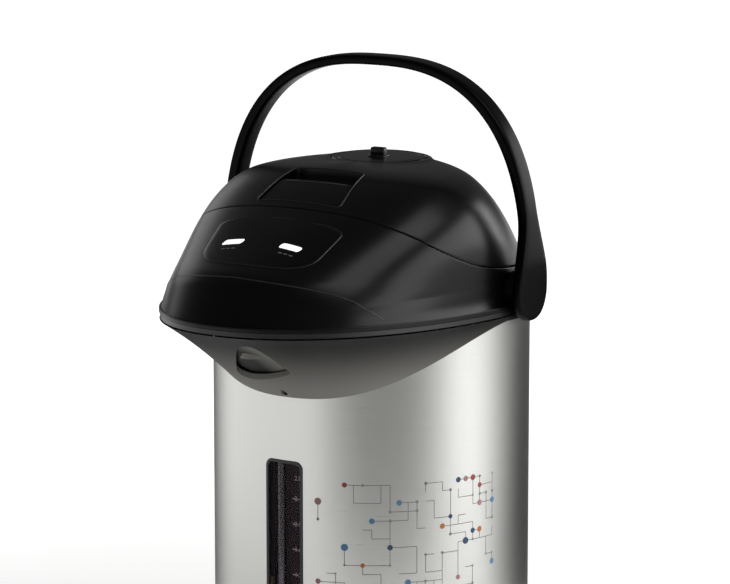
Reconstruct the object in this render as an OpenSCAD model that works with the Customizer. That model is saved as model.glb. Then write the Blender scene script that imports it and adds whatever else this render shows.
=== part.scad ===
// Electric thermo pot: steel casing, hooded spout, sloping lamp panel, hinged lid with an
// air pump, bail handle and swivel base. Millimetres. The origin is the middle of the base
// on the counter, +Z is up and the spout faces -Y.

/* [Body] */
// Outer radius of the steel casing
body_r = 100; // [98:0.5:102]
// Sheet thickness of the steel casing
casing_wall = 0.8; // [0.6:0.1:1]
// Height of the casing's lower edge above the counter
casing_foot_z = 24; // [22:0.5:26]
// Height of the rim between the shoulder and the spout cover, at the body's axis
rim_z = 262.6; // [258:0.2:266]
// Gap between neighbouring pieces that don't touch
fit_gap = 0.3; // [0.25:0.05:0.4]
// Radial clearance of a pin in its bore
pin_clearance = 0.05; // [0.03:0.01:0.08]

/* [Base] */
// Thickness of the rubber pad under the swivel plate
pad_t = 2; // [1.5:0.5:3]
// Radius of the rubber pad
pad_r = 72; // [66:1:76]
// Radius of the swivel plate
swivel_r = 82; // [78:1:88]
// Thickness of the swivel plate
swivel_t = 5; // [4:0.5:5.5]
// Radius of the swivel's centre pin
swivel_pin_r = 8; // [6:0.5:10]
// Thickness of the base pan's floor
pan_floor_t = 2.5; // [2:0.25:3]
// Thickness of the base pan's wall
pan_wall = 2.6; // [2:0.2:3.2]

/* [Inlet] */
// Width of the power inlet
inlet_w = 36; // [32:1:40]
// Height of the power inlet
inlet_h = 22; // [20:1:24]
// Radius of a contact pin
inlet_pin_r = 2; // [1.5:0.25:2.5]

/* [Container] */
// Outer radius of the inner container
container_r = 89.6; // [88:0.2:89.8]
// Sheet thickness of the inner container
container_wall = 0.6; // [0.5:0.1:0.8]
// Height of the container's inner floor above the counter
container_floor_z = 36.5; // [36:0.25:38]
// Radius of the mouth in the collar
mouth_r = 71; // [69:0.5:72]
// Radius of the heater disc under the container
heater_r = 60; // [50:1:66]
// Height of the band heater round the container
band_h = 26; // [20:1:30]

/* [Gauge] */
// Width of the level window's frame
window_w = 27; // [25:0.5:30]
// Height of the window's upper end above the counter
window_top_z = 175; // [168:1:180]
// Height of the window's lower end above the counter
window_foot_z = 62; // [60:1:70]
// Width of the window's frame border
window_border = 2; // [1.5:0.25:2.5]
// Sideways place of the window's middle
window_x = -4.5; // [-5:0.5:5]
// Outer radius of the glass gauge tube
tube_r = 2.8; // [2.4:0.1:3]
// Sideways place of the gauge tube from the window's middle
tube_dx = -5.5; // [-6:0.5:6]

/* [Shoulder] */
// Reach of the nose from the body's axis to its tip
nose_reach = 184; // [178:1:188]
// Forward rise of the rim in degrees
rim_tilt = 2.6; // [2:0.2:3.2]
// Wall of the plastic mouldings
wall = 2.4; // [2.2:0.1:2.6]
// How far the rim stands proud of the casing at the sides
rim_overhang = 1.5; // [1.4:0.1:2]
// Height of the nose's bumper, from the rim to the crease
bumper_rise = 27; // [24:1:30]
// Setback of the crease behind the nose's tip
bumper_run = 17; // [14:1:20]
// Slope of the front face in degrees
slope = 25.5; // [24.5:0.5:26.5]
// Height from the rim to the lid's top
dome_h = 89.2; // [88:0.4:92]
// Height of the dark trim under the rim
trim_h = 3.5; // [3:0.25:4]
// Height of the spout cover's lip at the front
lip_front_z = 215; // [205:1:222]

/* [Spout] */
// Distance of the spout's opening in front of the body's axis
spout_y = 143; // [138:1:148]
// Radius of the opening's round front end
spout_r = 11; // [9:0.5:12]
// Outer radius of the spout pipe
pipe_r = 5; // [4:0.25:5.5]
// Bore radius of the spout pipe
pipe_bore = 3.4; // [2.8:0.2:3.4]

/* [Panel] */
// Half width of the lamp panel
panel_half_w = 42; // [40:1:50]
// Half length of the lamp panel in plan
panel_half_l = 22.5; // [20:0.5:24]
// Distance of the panel's middle in front of the axis
panel_y = 129.5; // [127:0.5:131]
// Depth of the panel sheet
panel_t = 1.2; // [1:0.1:1.4]
// Width of a lamp lens
lamp_w = 16; // [13:0.5:18]
// Height of a lamp lens
lamp_h = 4.8; // [4:0.2:6]
// Distance of each lamp lens from the middle
lamp_x = 20; // [16:0.5:24]
// Distance of the lamp lenses in front of the axis
lamp_y = 131; // [129:0.5:135]

/* [Lid] */
// Height of the lid's seam at its rear
seam_rear_z = 284; // [283:0.25:285]
// Height of the lid's seam at its front
seam_front_z = 331.4; // [329:0.2:333]
// Thickness of the lid's under-plate
plate_t = 2.2; // [2:0.1:2.6]
// Outer radius of the plug under the lid
plug_r = 75; // [73.5:0.5:75]
// Thickness of the lid's gasket
gasket_t = 2; // [1.5:0.25:2.5]
// Length of the lid's hinge
hinge_w = 52; // [46:1:60]
// Radius of the hinge pin
hinge_pin_r = 2; // [1.5:0.25:2.25]
// Wall round the hinge pin
hinge_wall = 2.4; // [2:0.1:2.6]

/* [Latch] */
// Width of the latch recess
latch_w = 56; // [50:1:60]
// Length of the latch recess along the slope
latch_l = 37; // [34:1:40]
// Length of the latch lever along the slope
lever_l = 26; // [22:1:28]
// Thickness of the latch lever
lever_t = 3; // [2.4:0.2:3.6]
// Depth of the latch recess
latch_depth = 9; // [8:0.5:10]
// Radius of the latch pin
latch_pin_r = 1.2; // [1:0.1:1.4]

/* [Pump] */
// Radius of the pump plate
pump_r = 29.7; // [27:0.3:31]
// Distance of the pump and of the handle's pivot behind the body's axis
pump_y = 9; // [7:0.5:11]
// Outer radius of the bellows
bellows_r = 25; // [22:0.5:25.5]
// Width of the lock knob's bar
knob_w = 10; // [8:0.5:12]
// Height of the lock knob above the pump plate
knob_h = 5.5; // [4:0.5:7]

/* [Handle] */
// Height of the handle's pivot above the rim
pivot_rise = 11.4; // [11:0.2:12.4]
// Height of the handle's arch above its pivot, to the outside
arch_h = 140; // [136:1:146]
// Half width of the handle's arch, to the outside
arch_half_w = 112; // [110.5:0.25:113]
// Thickness of the handle's strap
strap_t = 7.5; // [7:0.25:8]
// Width of the handle's strap
strap_w = 16; // [14:0.5:18]
// Radius of the round boss at each end of the handle
boss_r = 19; // [17:0.5:20]
// Height over the pivot at which the strap starts to widen into its boss
flare_h = 46; // [36:2:60]
// Radius of the handle's pivot pin
pivot_r = 5; // [4:0.25:6]

/* [Hidden] */

$fn = 96;
big = 500;                    // longer than the whole pot
seam_gap = 0.5;               // gap along a parting line

// Base stack
swivel_gap = 0.4;
pan_z = pad_t + swivel_t + swivel_gap;
pan_r = body_r - 1.5;
pan_top_z = casing_foot_z + 6;
casing_in = body_r - casing_wall;
spigot_r = casing_in - fit_gap;
pan_in = spigot_r - pan_wall;
pan_floor_z = pan_z + pan_floor_t;
board_z = pan_floor_z + 5;
board_size = [76, 46, 1.6];
board_y = 30;
board_post_r = 3;
shield_t = 0.8;
washer_t = 1.5;
screw_r = 2;
screw_ring_r = body_r - 12;
chip_size = [28, 20];

// Inlet, at the back of the casing above the base pan
inlet_z = pan_top_z + shield_t + inlet_h/2 + 5;
inlet_wall = 1.5;
inlet_back = container_r + fit_gap;
inlet_proud = 1;
inlet_pin_l = body_r - inlet_back - 4;
inlet_pin_x = 5;
magnet_x = 11.5;
magnet_half_w = 2;
magnet_half_h = 6;

// Container
container_bottom = container_floor_z - container_wall;
container_top_z = rim_z - 12.6;
flange_r = body_r - 4;
flange_t = 1.2;
casing_top_z = rim_z - 5.6;
heater_gap = fit_gap;
heater_hole_r = 27;
thermostat_r = 9;
fuse_l = 16;
fuse_place = [18, 8];
shield_top_z = pan_top_z + shield_t;
band_z = container_floor_z + 34;
band_t = 1.6;
port_z = container_floor_z + 6;
port_r = 2;

// Collar between the container and the shoulder
ledge_z = rim_z - 6.9;
ledge_t = 2.2;
well_step = 7.5;
well_r = mouth_r + well_step;
collar_foot_r = flange_r - 4;
collar_wall = 2;
collar_z = container_top_z + flange_t;

// Gauge
tube_ring = (casing_in + container_r)/2 - 0.5;
tube_x = window_x + tube_dx;
tube_y = -sqrt(tube_ring*tube_ring - tube_x*tube_x);
tube_wall = 0.7;
tube_top_z = rim_z - 1;
elbow_r = tube_r + 1.3;
elbow_h = 14;
elbow_below = 6;
window_h = window_top_z - window_foot_z;
window_mid = (window_top_z + window_foot_z)/2;
frame_proud = 0.4;

// Rim
rim_half_w = body_r + rim_overhang;
rim_rear = body_r + 2;
rim_power = 2.1;
rim_steps = 56;
rim_band_h = 3;
function rim_plane(y) = rim_z - tan(rim_tilt)*y;
nose_z = rim_plane(-nose_reach);

// Dome over the body: the front is a straight slope and the other sides are rounded
dome_top = rim_z + dome_h;
dome_foot = rim_z + 12.4;
dome_half_w = body_r - 3.5;
dome_flare = 3;
dome_power = 2.1;
nose_power = 1.84;            // rounder front below the nose's crease
crease_blend = 18;            // height over which the front turns to the dome's own outline
rear_knee = rim_z + 24.4;
rear_at_knee = body_r - 8;
rear_slope = 0.52;
rear_bulge = 0.0056;
crease_z = nose_z + bumper_rise;
crease_y = bumper_run - nose_reach;
dome_slices = 13;
dome_steps = 56;
roof_drop = 1;                // the dome's flat roof lies this far under its apex
pump_rim = 3.3;               // width of the raised ring round the pump plate
pump_ring_top = dome_top - 3;

function dome_level(i) = rim_z - 10 + (dome_h + 10 - roof_drop)*sin(90*i/dome_slices);
function dome_share(z) = min(1, max(0, (z - dome_foot)/(dome_top - dome_foot)));
function dome_width(z) = dome_half_w*pow(1 - pow(dome_share(z), 2.6), 0.25)
    + (z < dome_foot ? dome_flare*pow((dome_foot - z)/(dome_foot - rim_z), 2) : 0);
function dome_rear(z) = rear_at_knee - rear_slope*(z - rear_knee)
    - rear_bulge*pow(z - rear_knee, 2)*(z < rear_knee ? -0.4 : 1);
function dome_front(z) = crease_y + (z - crease_z)/tan(slope);
function dome_middle(z) = min(0, 20*pow((z - rim_z - 69.4)/45, 2) - 25);
function front_z(y) = crease_z + (y - crease_y)*tan(slope);

function crease_share(z) = min(1, max(0, (z - crease_z)/crease_blend + 0.2));
function front_power(z) = let (t = crease_share(z))
    nose_power + (dome_power - nose_power)*t*t*(3 - 2*t);

// Superellipse with its own front and rear lengths, and its own power at the front
function round_outline(half_w, front, rear, middle, power, steps, fore = 0) = [
    for (i = [0:steps - 1])
        let (c = cos(360*i/steps), s = sin(360*i/steps), p = s < 0 && fore > 0 ? fore : power)
        [half_w*sign(c)*pow(abs(c), 2/p),
         middle + (s > 0 ? rear - middle : middle - front)*sign(s)*pow(abs(s), 2/p)]
];
function dome_outline(z, inset) = round_outline(dome_width(z) - inset, dome_front(z),
    dome_rear(z) - inset, dome_middle(z), dome_power, dome_steps, front_power(z));
function rim_outline(inset, cut = 0) = round_outline(rim_half_w - inset,
    -nose_reach + inset + cut, rim_rear - inset, 0, rim_power, rim_steps);

// Lid seam: one curve in side view, level at the rear and steep at the front
seam_rear_y = body_r - 5;
seam_front_y = dome_front(seam_front_z);
seam_sag = 8;
seam_steps = 28;
function seam_share(y) = max(0, (seam_rear_y - y)/(seam_rear_y - seam_front_y));
function seam_at(y) = seam_rear_z + seam_sag*seam_share(y)*(1 - seam_share(y))
    + (seam_front_z - seam_rear_z)*pow(seam_share(y), 4.2);
seam_lead = 8;                // the curve runs on by this much in front of the dome
deck_t = wall;

// Lid
plate_gap = fit_gap;
plug_floor_z = rim_z + 13.4;
plug_foot_z = ledge_z + gasket_t + fit_gap;
plug_wall = 2;
hinge_y = body_r - 3;
hinge_z = seam_rear_z;
hinge_r = hinge_pin_r + hinge_wall;
ear_w = 8;
hinge_depth = 9;
hinge_foot = 14;

// Latch, in a frame that lies on the front slope
latch_y = seam_front_y + 7;
latch_z = front_z(latch_y);
finger_depth = 13;
lever_gap = 0.5;
lever_top = -1.2;
latch_pin_u = 4;
latch_pin_n = -5.2;
latch_swing = 12;
pin_y = latch_y + latch_pin_u*cos(slope) - latch_pin_n*sin(slope);
pin_z = latch_z + latch_pin_u*sin(slope) + latch_pin_n*cos(slope);
hook_w = 16;
hook_drop = 17;
hook_t = 3;
hook_front = pin_y - hook_t/2;
barrel_r = latch_pin_r + 1.6;
lug_w = 4;
lug_x = latch_w/2 - lever_gap - lug_w/2;
catch_t = 3;

// Pump
pump_gap = 0.6;
guide_in = pump_r + pump_gap;
guide_wall = 1.6;
pump_top = pump_ring_top + 1;
pump_cap_t = 3;
pump_skirt = 13;
rod_r = 4;
rod_l = 24;
stem_r = 2;
stem_l = 2.5;
bellows_folds = 7;
bellows_wall = 0.9;
bellows_fold_depth = 4;
bellows_foot = plug_floor_z + plug_wall;
bellows_top = pump_top - pump_cap_t;
spring_r = 15;
spring_wire = 1;
spring_turns = 7;
spring_sides = 6;
spring_steps = 12;
valve_r = 8;
valve_t = 6;
knob_r = 7;
knob_seat = 1.5;

// Handle
pivot_z = rim_z + pivot_rise;
boss_t = 7;
boss_out = arch_half_w - 1;
boss_in = boss_out - boss_t;
arch_power = 2.6;
arch_steps = 60;
hub_r = 11;
hub_l = 12;
hub_in = boss_in - hub_l;

// Panel and lamps
panel_power = 2.3;
panel_rear_power = 8;
panel_taper = 0.07;
panel_gap = 0.15;
lamp_depth = 6;
lamp_slant = 1.6;
lamp_proud = 0.3;
lamp_board_t = 1.6;
lamp_board_w = 16;
lamp_board_side = 3;
lamp_corner = 1.6;

// ---------------------------------------------------------------- helpers

// Turns a child drawn on the rim's plane into place
module on_rim() {
    translate([0, 0, rim_z]) rotate([-rim_tilt, 0, 0]) children();
}

// Turns a child drawn along the front slope into place: x across, y up the slope, z outwards
module on_slope(y, z) {
    translate([0, y, z]) rotate([slope, 0, 0]) children();
}

// Cylinder along X from x0 to x1
module rod_x(x0, x1, r, y, z) {
    translate([x0, y, z]) rotate([0, 90, 0]) cylinder(h = x1 - x0, r = r);
}

// Block given by its lowest and highest corners
module block(low, high) {
    translate(low) cube(high - low);
}

// Rounded rectangle
module rounded(w, h, r) {
    square([w - 2*r, h], center = true);
    square([w, h - 2*r], center = true);
    for (x = [-1, 1], y = [-1, 1]) translate([x*(w/2 - r), y*(h/2 - r)]) circle(r = r);
}

// Convex solid between two rings of points
module ring_hull(a, b) {
    hull() polyhedron(concat(a, b), [for (i = [1:len(a) + len(b) - 2]) [0, i, i + 1]]);
}

// An outline's points at a height
function raised(outline, z) = [for (p = outline) [p.x, p.y, z]];

// The dome's solid, drawn in by the inset
module dome_solid(inset) {
    for (i = [0:dome_slices - 1])
        ring_hull(raised(dome_outline(dome_level(i), inset), dome_level(i) - inset),
            raised(dome_outline(dome_level(i + 1), inset), dome_level(i + 1) - inset));
}

// The nose's bumper: the rim's outline, leaning back as it rises. It starts below the rim.
bumper_h = 48;
bumper_below = 3;
bumper_step = 0.5;            // ledge between the rim's band and the bumper
function bumper_ring(inset, h) =
    raised(rim_outline(inset + bumper_step, h*bumper_run/bumper_rise), h);
module bumper_solid(inset) {
    on_rim() {
        ring_hull(bumper_ring(inset, -bumper_below), bumper_ring(inset, bumper_h));
        translate([0, 0, bumper_h - 1]) linear_extrude(dome_h)
            polygon(rim_outline(inset + bumper_step, bumper_h*bumper_run/bumper_rise));
    }
}

// Everything over the seam's curve, raised by lift
module over_seam(lift) {
    rotate([90, 0, 90]) translate([0, 0, -big/2]) linear_extrude(big) polygon(concat(
        [[big/2, big], [big/2, seam_rear_z + lift]],
        [for (i = [0:seam_steps])
            let (y = seam_rear_y - i*(seam_rear_y - seam_front_y)/seam_steps)
            [y, seam_at(y) + lift]],
        [[seam_front_y - seam_lead, seam_front_z + 2*seam_lead + lift],
         [seam_front_y - seam_lead, big]]));
}

// The layer between two lifts of the seam's curve
module seam_layer(low, high) {
    difference() {
        over_seam(low);
        over_seam(high);
    }
}

// ---------------------------------------------------------------- base

module non_slip_pad() {
    color("#2a2a2c") cylinder(h = pad_t, r = pad_r);
}

module swivel_plate() {
    color("#3a3b3d") {
        translate([0, 0, pad_t]) cylinder(h = swivel_t, r = swivel_r);
        translate([0, 0, pad_t + swivel_t])
            cylinder(h = swivel_gap + pan_floor_t + fit_gap, r = swivel_pin_r);
    }
}

module swivel_washer() {
    color("#b9bcc0") translate([0, 0, pan_floor_z + fit_gap])
        cylinder(h = washer_t, r = swivel_pin_r + 5);
}

module base_pan() {
    color("#3c3d40") difference() {
        union() {
            translate([0, 0, pan_z]) cylinder(h = casing_foot_z - pan_z, r = pan_r);
            translate([0, 0, casing_foot_z]) cylinder(h = pan_top_z - casing_foot_z, r = spigot_r);
        }
        difference() {
            translate([0, 0, pan_floor_z]) cylinder(h = big, r = pan_in);
            for (x = [-1, 1], y = [-1, 1]) translate([x*(board_size.x/2 - 6),
                board_y + y*(board_size.y/2 - 6), 0]) cylinder(h = board_z, r = board_post_r);
            for (a = [45:90:315]) rotate(a) translate([screw_ring_r, 0, 0])
                cylinder(h = pan_top_z, r = screw_r + 2);
        }
        translate([0, 0, -1]) cylinder(h = big, r = swivel_pin_r + pin_clearance);
        for (a = [45:90:315]) rotate(a) translate([screw_ring_r, 0, pan_z - 1])
            cylinder(h = big, r = screw_r + 0.1);
    }
}

module base_screws() {
    color("#a8abb0") for (a = [45:90:315]) rotate(a) translate([screw_ring_r, 0, 0]) {
        translate([0, 0, pan_z + 0.5]) cylinder(h = shield_top_z - pan_z - 0.5, r = screw_r);
        translate([0, 0, shield_top_z]) cylinder(h = 2, r = screw_r + 1.6);
    }
}

module power_board() {
    color("#2f6b3c") translate([-board_size.x/2, board_y - board_size.y/2, board_z])
        cube(board_size);
    color("#23262b")
        translate([-chip_size.x/2, board_y - chip_size.y/2, board_z + board_size.z])
            cube([chip_size.x, chip_size.y, shield_top_z - board_z - board_size.z - 3]);
}

module inlet_prism(grow) {
    translate([0, 0, inlet_z]) rotate([-90, 0, 0]) linear_extrude(big)
        rounded(inlet_w + 2*grow, inlet_h + 2*grow, 3);
}

module power_inlet() {
    color("#1d1e20") difference() {
        intersection() {
            inlet_prism(0);
            block([-big, inlet_back, 0], [big, body_r + inlet_proud, big]);
            cylinder(h = big, r = body_r + inlet_proud);
        }
        intersection() {
            inlet_prism(-inlet_wall - 1);
            block([-big, inlet_back + inlet_wall, 0], [big, big, big]);
        }
        for (x = [-1, 1]) translate([x*inlet_pin_x, 0, inlet_z]) rotate([-90, 0, 0])
            cylinder(h = big, r = inlet_pin_r);
        magnet_blocks(big);
    }
}

// The two steel plates that a magnetic plug holds on to, reaching back to y_end
module magnet_blocks(y_end) {
    for (x = [-1, 1]) block([x*magnet_x - magnet_half_w, inlet_back + 0.5, inlet_z - magnet_half_h],
        [x*magnet_x + magnet_half_w, y_end, inlet_z + magnet_half_h]);
}

module inlet_pins() {
    color("#c8a24a") for (x = [-1, 1])
        translate([x*inlet_pin_x, inlet_back, inlet_z]) rotate([-90, 0, 0])
            cylinder(h = inlet_pin_l, r = inlet_pin_r);
}

module inlet_magnets() {
    color("#b0b3b8") magnet_blocks(inlet_back + inlet_wall + 0.6);
}

// ---------------------------------------------------------------- heating

module heat_shield() {
    color("#c3c6ca") translate([0, 0, pan_top_z]) difference() {
        cylinder(h = shield_t, r = spigot_r);
        for (a = [45:90:315]) rotate(a) translate([screw_ring_r, 0, -1])
            cylinder(h = big, r = screw_r + 0.1);
    }
}

module thermostat() {
    color("#d8d4c8") translate([0, 0, shield_top_z + heater_gap])
        cylinder(h = container_bottom - shield_top_z - heater_gap, r = thermostat_r);
}

module thermal_fuse() {
    fuse_r = (container_bottom - shield_top_z - heater_gap)/2;
    color("#c7a58a") translate([fuse_place.x, fuse_place.y, shield_top_z + heater_gap + fuse_r])
        rotate([90, 0, 0]) cylinder(h = fuse_l, r = fuse_r);
}

module disc_heater() {
    color("#9a8a6a") translate([0, 0, shield_top_z + heater_gap]) difference() {
        cylinder(h = container_bottom - shield_top_z - heater_gap, r = heater_r);
        translate([0, 0, -1]) cylinder(h = big, r = heater_hole_r);
    }
}

module band_heater() {
    color("#b8a888") translate([0, 0, band_z]) difference() {
        cylinder(h = band_h, r = container_r + band_t);
        translate([0, 0, -1]) cylinder(h = big, r = container_r);
        block([window_x - window_w/2 - 2, -big, -1], [window_x + window_w/2 + 2, 0, big]);
    }
}

module inner_container() {
    color("#cfd2d6") difference() {
        union() {
            translate([0, 0, container_bottom])
                cylinder(h = container_top_z + flange_t - container_bottom, r = container_r);
            translate([0, 0, container_top_z]) cylinder(h = flange_t, r = flange_r);
        }
        translate([0, 0, container_floor_z]) cylinder(h = big, r = container_r - container_wall);
        translate([tube_x, 0, port_z]) rotate([90, 0, 0]) cylinder(h = big, r = port_r);
        translate([tube_x, tube_y, container_top_z - 1]) cylinder(h = big, r = tube_r + fit_gap);
    }
}

// ---------------------------------------------------------------- casing and gauge

module window_prism(inset) {
    translate([window_x, 0, window_mid]) rotate([90, 0, 0]) linear_extrude(big)
        rounded(window_w - 2*inset, window_h - 2*inset, 5 - inset);
}

module tube_shell(r_in, r_out) {
    difference() {
        cylinder(h = big, r = r_out);
        translate([0, 0, -1]) cylinder(h = 2*big, r = r_in);
    }
}

module outer_casing() {
    color("#b9bbbd") difference() {
        translate([0, 0, casing_foot_z]) difference() {
            cylinder(h = casing_top_z - casing_foot_z, r = body_r);
            translate([0, 0, -1]) cylinder(h = big, r = casing_in);
        }
        window_prism(-0.1);
        inlet_prism(0.1);
        translate([0, 0, screw_dot_z]) rotate([90, 0, 0]) cylinder(h = big, r = screw_dot_r + 0.1);
    }
}

module window_frame() {
    color("#16171a") intersection() {
        difference() {
            window_prism(0);
            window_prism(window_border);
        }
        tube_shell(casing_in - 1.2, body_r + frame_proud);
    }
}

module window_lens() {
    color("#8a8f96") intersection() {
        window_prism(window_border);
        tube_shell(casing_in - 1.2, body_r - 0.2);
    }
}

module scale_plate() {
    color("#3a2f38") intersection() {
        window_prism(0.5);
        tube_shell(container_r + fit_gap, container_r + fit_gap + 0.8);
    }
}

module gauge_elbow() {
    color("#d9dad8") difference() {
        translate([tube_x, tube_y, port_z - elbow_below]) cylinder(h = elbow_h, r = elbow_r);
        translate([tube_x, tube_y, port_z]) cylinder(h = big, r = tube_r);
        translate([tube_x, tube_y, port_z]) rotate([-90, 0, 0]) cylinder(h = big, r = port_r);
        translate([0, 0, port_z - elbow_h]) cylinder(h = 2*elbow_h, r = container_r);
    }
}

module gauge_tube() {
    color("#d5dbe0") translate([tube_x, tube_y, port_z]) difference() {
        cylinder(h = tube_top_z - port_z, r = tube_r);
        translate([0, 0, -1]) cylinder(h = big, r = tube_r - tube_wall);
    }
}

// Ring that carries the container's flange and rises to the shoulder's deck round the mouth
module collar() {
    color("#e4e2dc") difference() {
        rotate_extrude() polygon([
            [mouth_r, ledge_z - ledge_t], [collar_foot_r, ledge_z - ledge_t],
            [collar_foot_r, collar_z], [spigot_r, collar_z], [spigot_r, ledge_z],
            [well_r + collar_wall, ledge_z], [well_r + collar_wall, big], [well_r, big],
            [well_r, ledge_z], [mouth_r, ledge_z]]);
        over_seam(-seam_gap/2 - deck_t);
        translate([tube_x, tube_y, collar_z - 5]) cylinder(h = 15, r = tube_r + fit_gap);
    }
}

// ---------------------------------------------------------------- spout

spout_run = norm([tube_x, spout_y + tube_y]);
spout_turn = atan2(-tube_x, spout_y + tube_y);
bend_r = 9;
pipe_z = tube_top_z + bend_r + 2;
pipe_foot_z = rim_z - 13;
pipe_socket_z = ledge_z + fit_gap;

// Quarter bend of the pipe in the local YZ plane
module quarter_bend(r, start) {
    rotate([90, 0, 90]) rotate_extrude(angle = 90, start = start)
        translate([bend_r, 0]) circle(r = r);
}

// Path of the spout pipe: up from the gauge tube, forward, and down over the opening
module pipe_path(r, over = 0) {
    translate([tube_x, tube_y, 0]) rotate(spout_turn) {
        translate([0, 0, pipe_socket_z - over])
            cylinder(h = pipe_z - bend_r - pipe_socket_z + over, r = r);
        translate([0, -bend_r, pipe_z - bend_r]) quarter_bend(r, 0);
        translate([0, -bend_r, pipe_z]) rotate([90, 0, 0]) cylinder(h = spout_run - 2*bend_r, r = r);
        translate([0, bend_r - spout_run, pipe_z - bend_r]) quarter_bend(r, 90);
        translate([0, -spout_run, pipe_foot_z - over])
            cylinder(h = pipe_z - bend_r - pipe_foot_z + over, r = r);
    }
}

module spout_pipe() {
    color("#d9dad8") difference() {
        pipe_path(pipe_r);
        pipe_path(min(pipe_bore, tube_r), 1);
        translate([tube_x, tube_y, 0]) cylinder(h = tube_top_z, r = tube_r);
    }
}

module spout_nozzle() {
    color("#8d8c88") translate([0, -spout_y, pipe_foot_z - 2]) difference() {
        cylinder(h = 8, r = pipe_r + 2.2);
        translate([0, 0, 2]) cylinder(h = big, r = pipe_r);
        translate([0, 0, -1]) cylinder(h = big, r = pipe_bore);
    }
}

lip_rise = casing_top_z - lip_front_z;
cover_rings = 5;
cover_band = 2.5;             // least height of the cover, at the rear
function lip_share(psi) = psi > 90 ? 1 : pow(sin(psi), 2.6);
function from_front(i) = abs(((360*i/rim_steps + 270) % 360) - 180);
function lip_point(i, inset) = let (a = 360*i/rim_steps, r = rim_half_w - inset)
    [r*cos(a), r*sin(a), 1.2*inset + min(lip_front_z + lip_rise*lip_share(from_front(i)),
        rim_plane(r*sin(a)) - trim_h - fit_gap - cover_band)];
function cover_edge(i, inset) = let (p = rim_outline(inset)[i])
    [p.x, p.y, rim_plane(p.y) - trim_h - fit_gap + 0.5*inset];
// Ring of the cover's skin: share 0 is the lip on the casing and share 1 is the edge at the rim
function cover_ring(share, inset) = [
    for (i = [0:rim_steps - 1])
        lip_point(i, inset)*(1 - share) + cover_edge(i, inset)*share
];

module cover_solid(inset) {
    for (k = [0:cover_rings - 1])
        ring_hull(cover_ring(k/cover_rings, inset), cover_ring((k + 1)/cover_rings, inset));
}

// Teardrop opening: a round front end and a point towards the body
hole_below = 50;
hole_above = 10;
hole_lead = 4;
hole_tip_r = 1.5;
hole_tip_gap = 17;
module spout_hole() {
    translate([0, 0, rim_z - hole_below]) linear_extrude(hole_below + hole_above) hull() {
        translate([0, -spout_y - hole_lead]) circle(r = spout_r);
        translate([0, -body_r - hole_tip_gap]) circle(r = hole_tip_r);
    }
}

trim_inset = 0.8;
screw_dot_r = 1.8;
screw_dot_z = lip_front_z + 4;

module spout_cover() {
    color("#5f5d59") difference() {
        cover_solid(0);
        cover_solid(wall);
        translate([0, 0, -big/2]) cylinder(h = 2*big, r = body_r + fit_gap);
        spout_hole();
        translate([0, 0, screw_dot_z]) rotate([90, 0, 0]) cylinder(h = big, r = screw_dot_r + 0.1);
    }
}

module cover_screw() {
    color("#17181a") translate([0, -body_r + 4, screw_dot_z]) rotate([90, 0, 0])
        cylinder(h = 8, r = screw_dot_r);
}

module rim_trim() {
    color("#2c2d2f") difference() {
        on_rim() translate([0, 0, -trim_h]) linear_extrude(trim_h) difference() {
            polygon(rim_outline(trim_inset));
            polygon(rim_outline(trim_inset + wall));
        }
        cylinder(h = casing_top_z + 1, r = body_r + fit_gap);
    }
}

// ---------------------------------------------------------------- shoulder

// The panel's outline: nearly straight at its rear, round and narrower at its front
function panel_outline(grow) = [
    for (p = round_outline(panel_half_w + grow, -panel_half_l - grow, panel_half_l + grow, 0,
            panel_rear_power, dome_steps, panel_power))
        [p.x*(1 + panel_taper*(p.y/panel_half_l - 1)), p.y]
];
module panel_prism(grow) {
    translate([0, -panel_y, 0]) linear_extrude(big) polygon(panel_outline(grow));
}

module lamp_prism(grow) {
    for (x = [-1, 1]) on_slope(-lamp_y, front_z(-lamp_y)) translate([x*lamp_x, 0, -lamp_depth])
        linear_extrude(2*lamp_depth) multmatrix([[1, lamp_slant/lamp_h, 0, 0], [0, 1, 0, 0]])
            rounded(lamp_w + 2*grow, lamp_h + 2*grow, lamp_corner);
}

// Space for the hinge in the back of the shoulder and the lid
module hinge_notch(grow) {
    block([-hinge_w/2 - grow, hinge_y - hinge_r - hinge_depth - grow, hinge_z - hinge_foot],
        [hinge_w/2 + grow, big/2, hinge_z + hinge_r + 6 + grow]);
}

// Slot that the latch hook hangs through and swings back in
module hook_slot() {
    block([-hook_w/2 - 1, hook_front - 2*fit_gap, pin_z - hook_drop - 10],
        [hook_w/2 + 1, hook_front + hook_t + hook_drop*sin(latch_swing) + 2*fit_gap, pin_z]);
}

module shoulder_cover() {
    color("#1a1a1b") difference() {
        union() {
            intersection() {
                dome_solid(0);
                bumper_solid(0);
            }
            on_rim() translate([0, 0, -bumper_below]) linear_extrude(bumper_below + rim_band_h)
                difference() {
                    polygon(rim_outline(0));
                    polygon(rim_outline(3*wall));
                }
        }
        over_seam(-seam_gap/2);
        on_rim() translate([-big/2, -big/2, -big]) cube(big);
        difference() {
            intersection() {
                dome_solid(wall);
                bumper_solid(wall);
            }
            over_seam(-seam_gap/2 - deck_t);
        }
        cylinder(h = big, r = well_r);
        difference() {
            panel_prism(panel_gap);
            dome_solid(panel_t + panel_gap);
        }
        lamp_prism(0.1);
        for (s = [-1, 1]) rod_x(min(s*hub_in, s*big), max(s*hub_in, s*big), hub_r + 0.1,
            pump_y, pivot_z);
        hinge_notch(0.1);
        hook_slot();
    }
}

module control_panel() {
    color("#111112") difference() {
        intersection() {
            panel_prism(0);
            dome_solid(0);
        }
        dome_solid(panel_t);
        lamp_prism(0.1);
    }
}

module lamp_lenses() {
    color("#f1efe8") intersection() {
        lamp_prism(0);
        translate([0, 0, lamp_proud]) dome_solid(0);
    }
}

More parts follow.
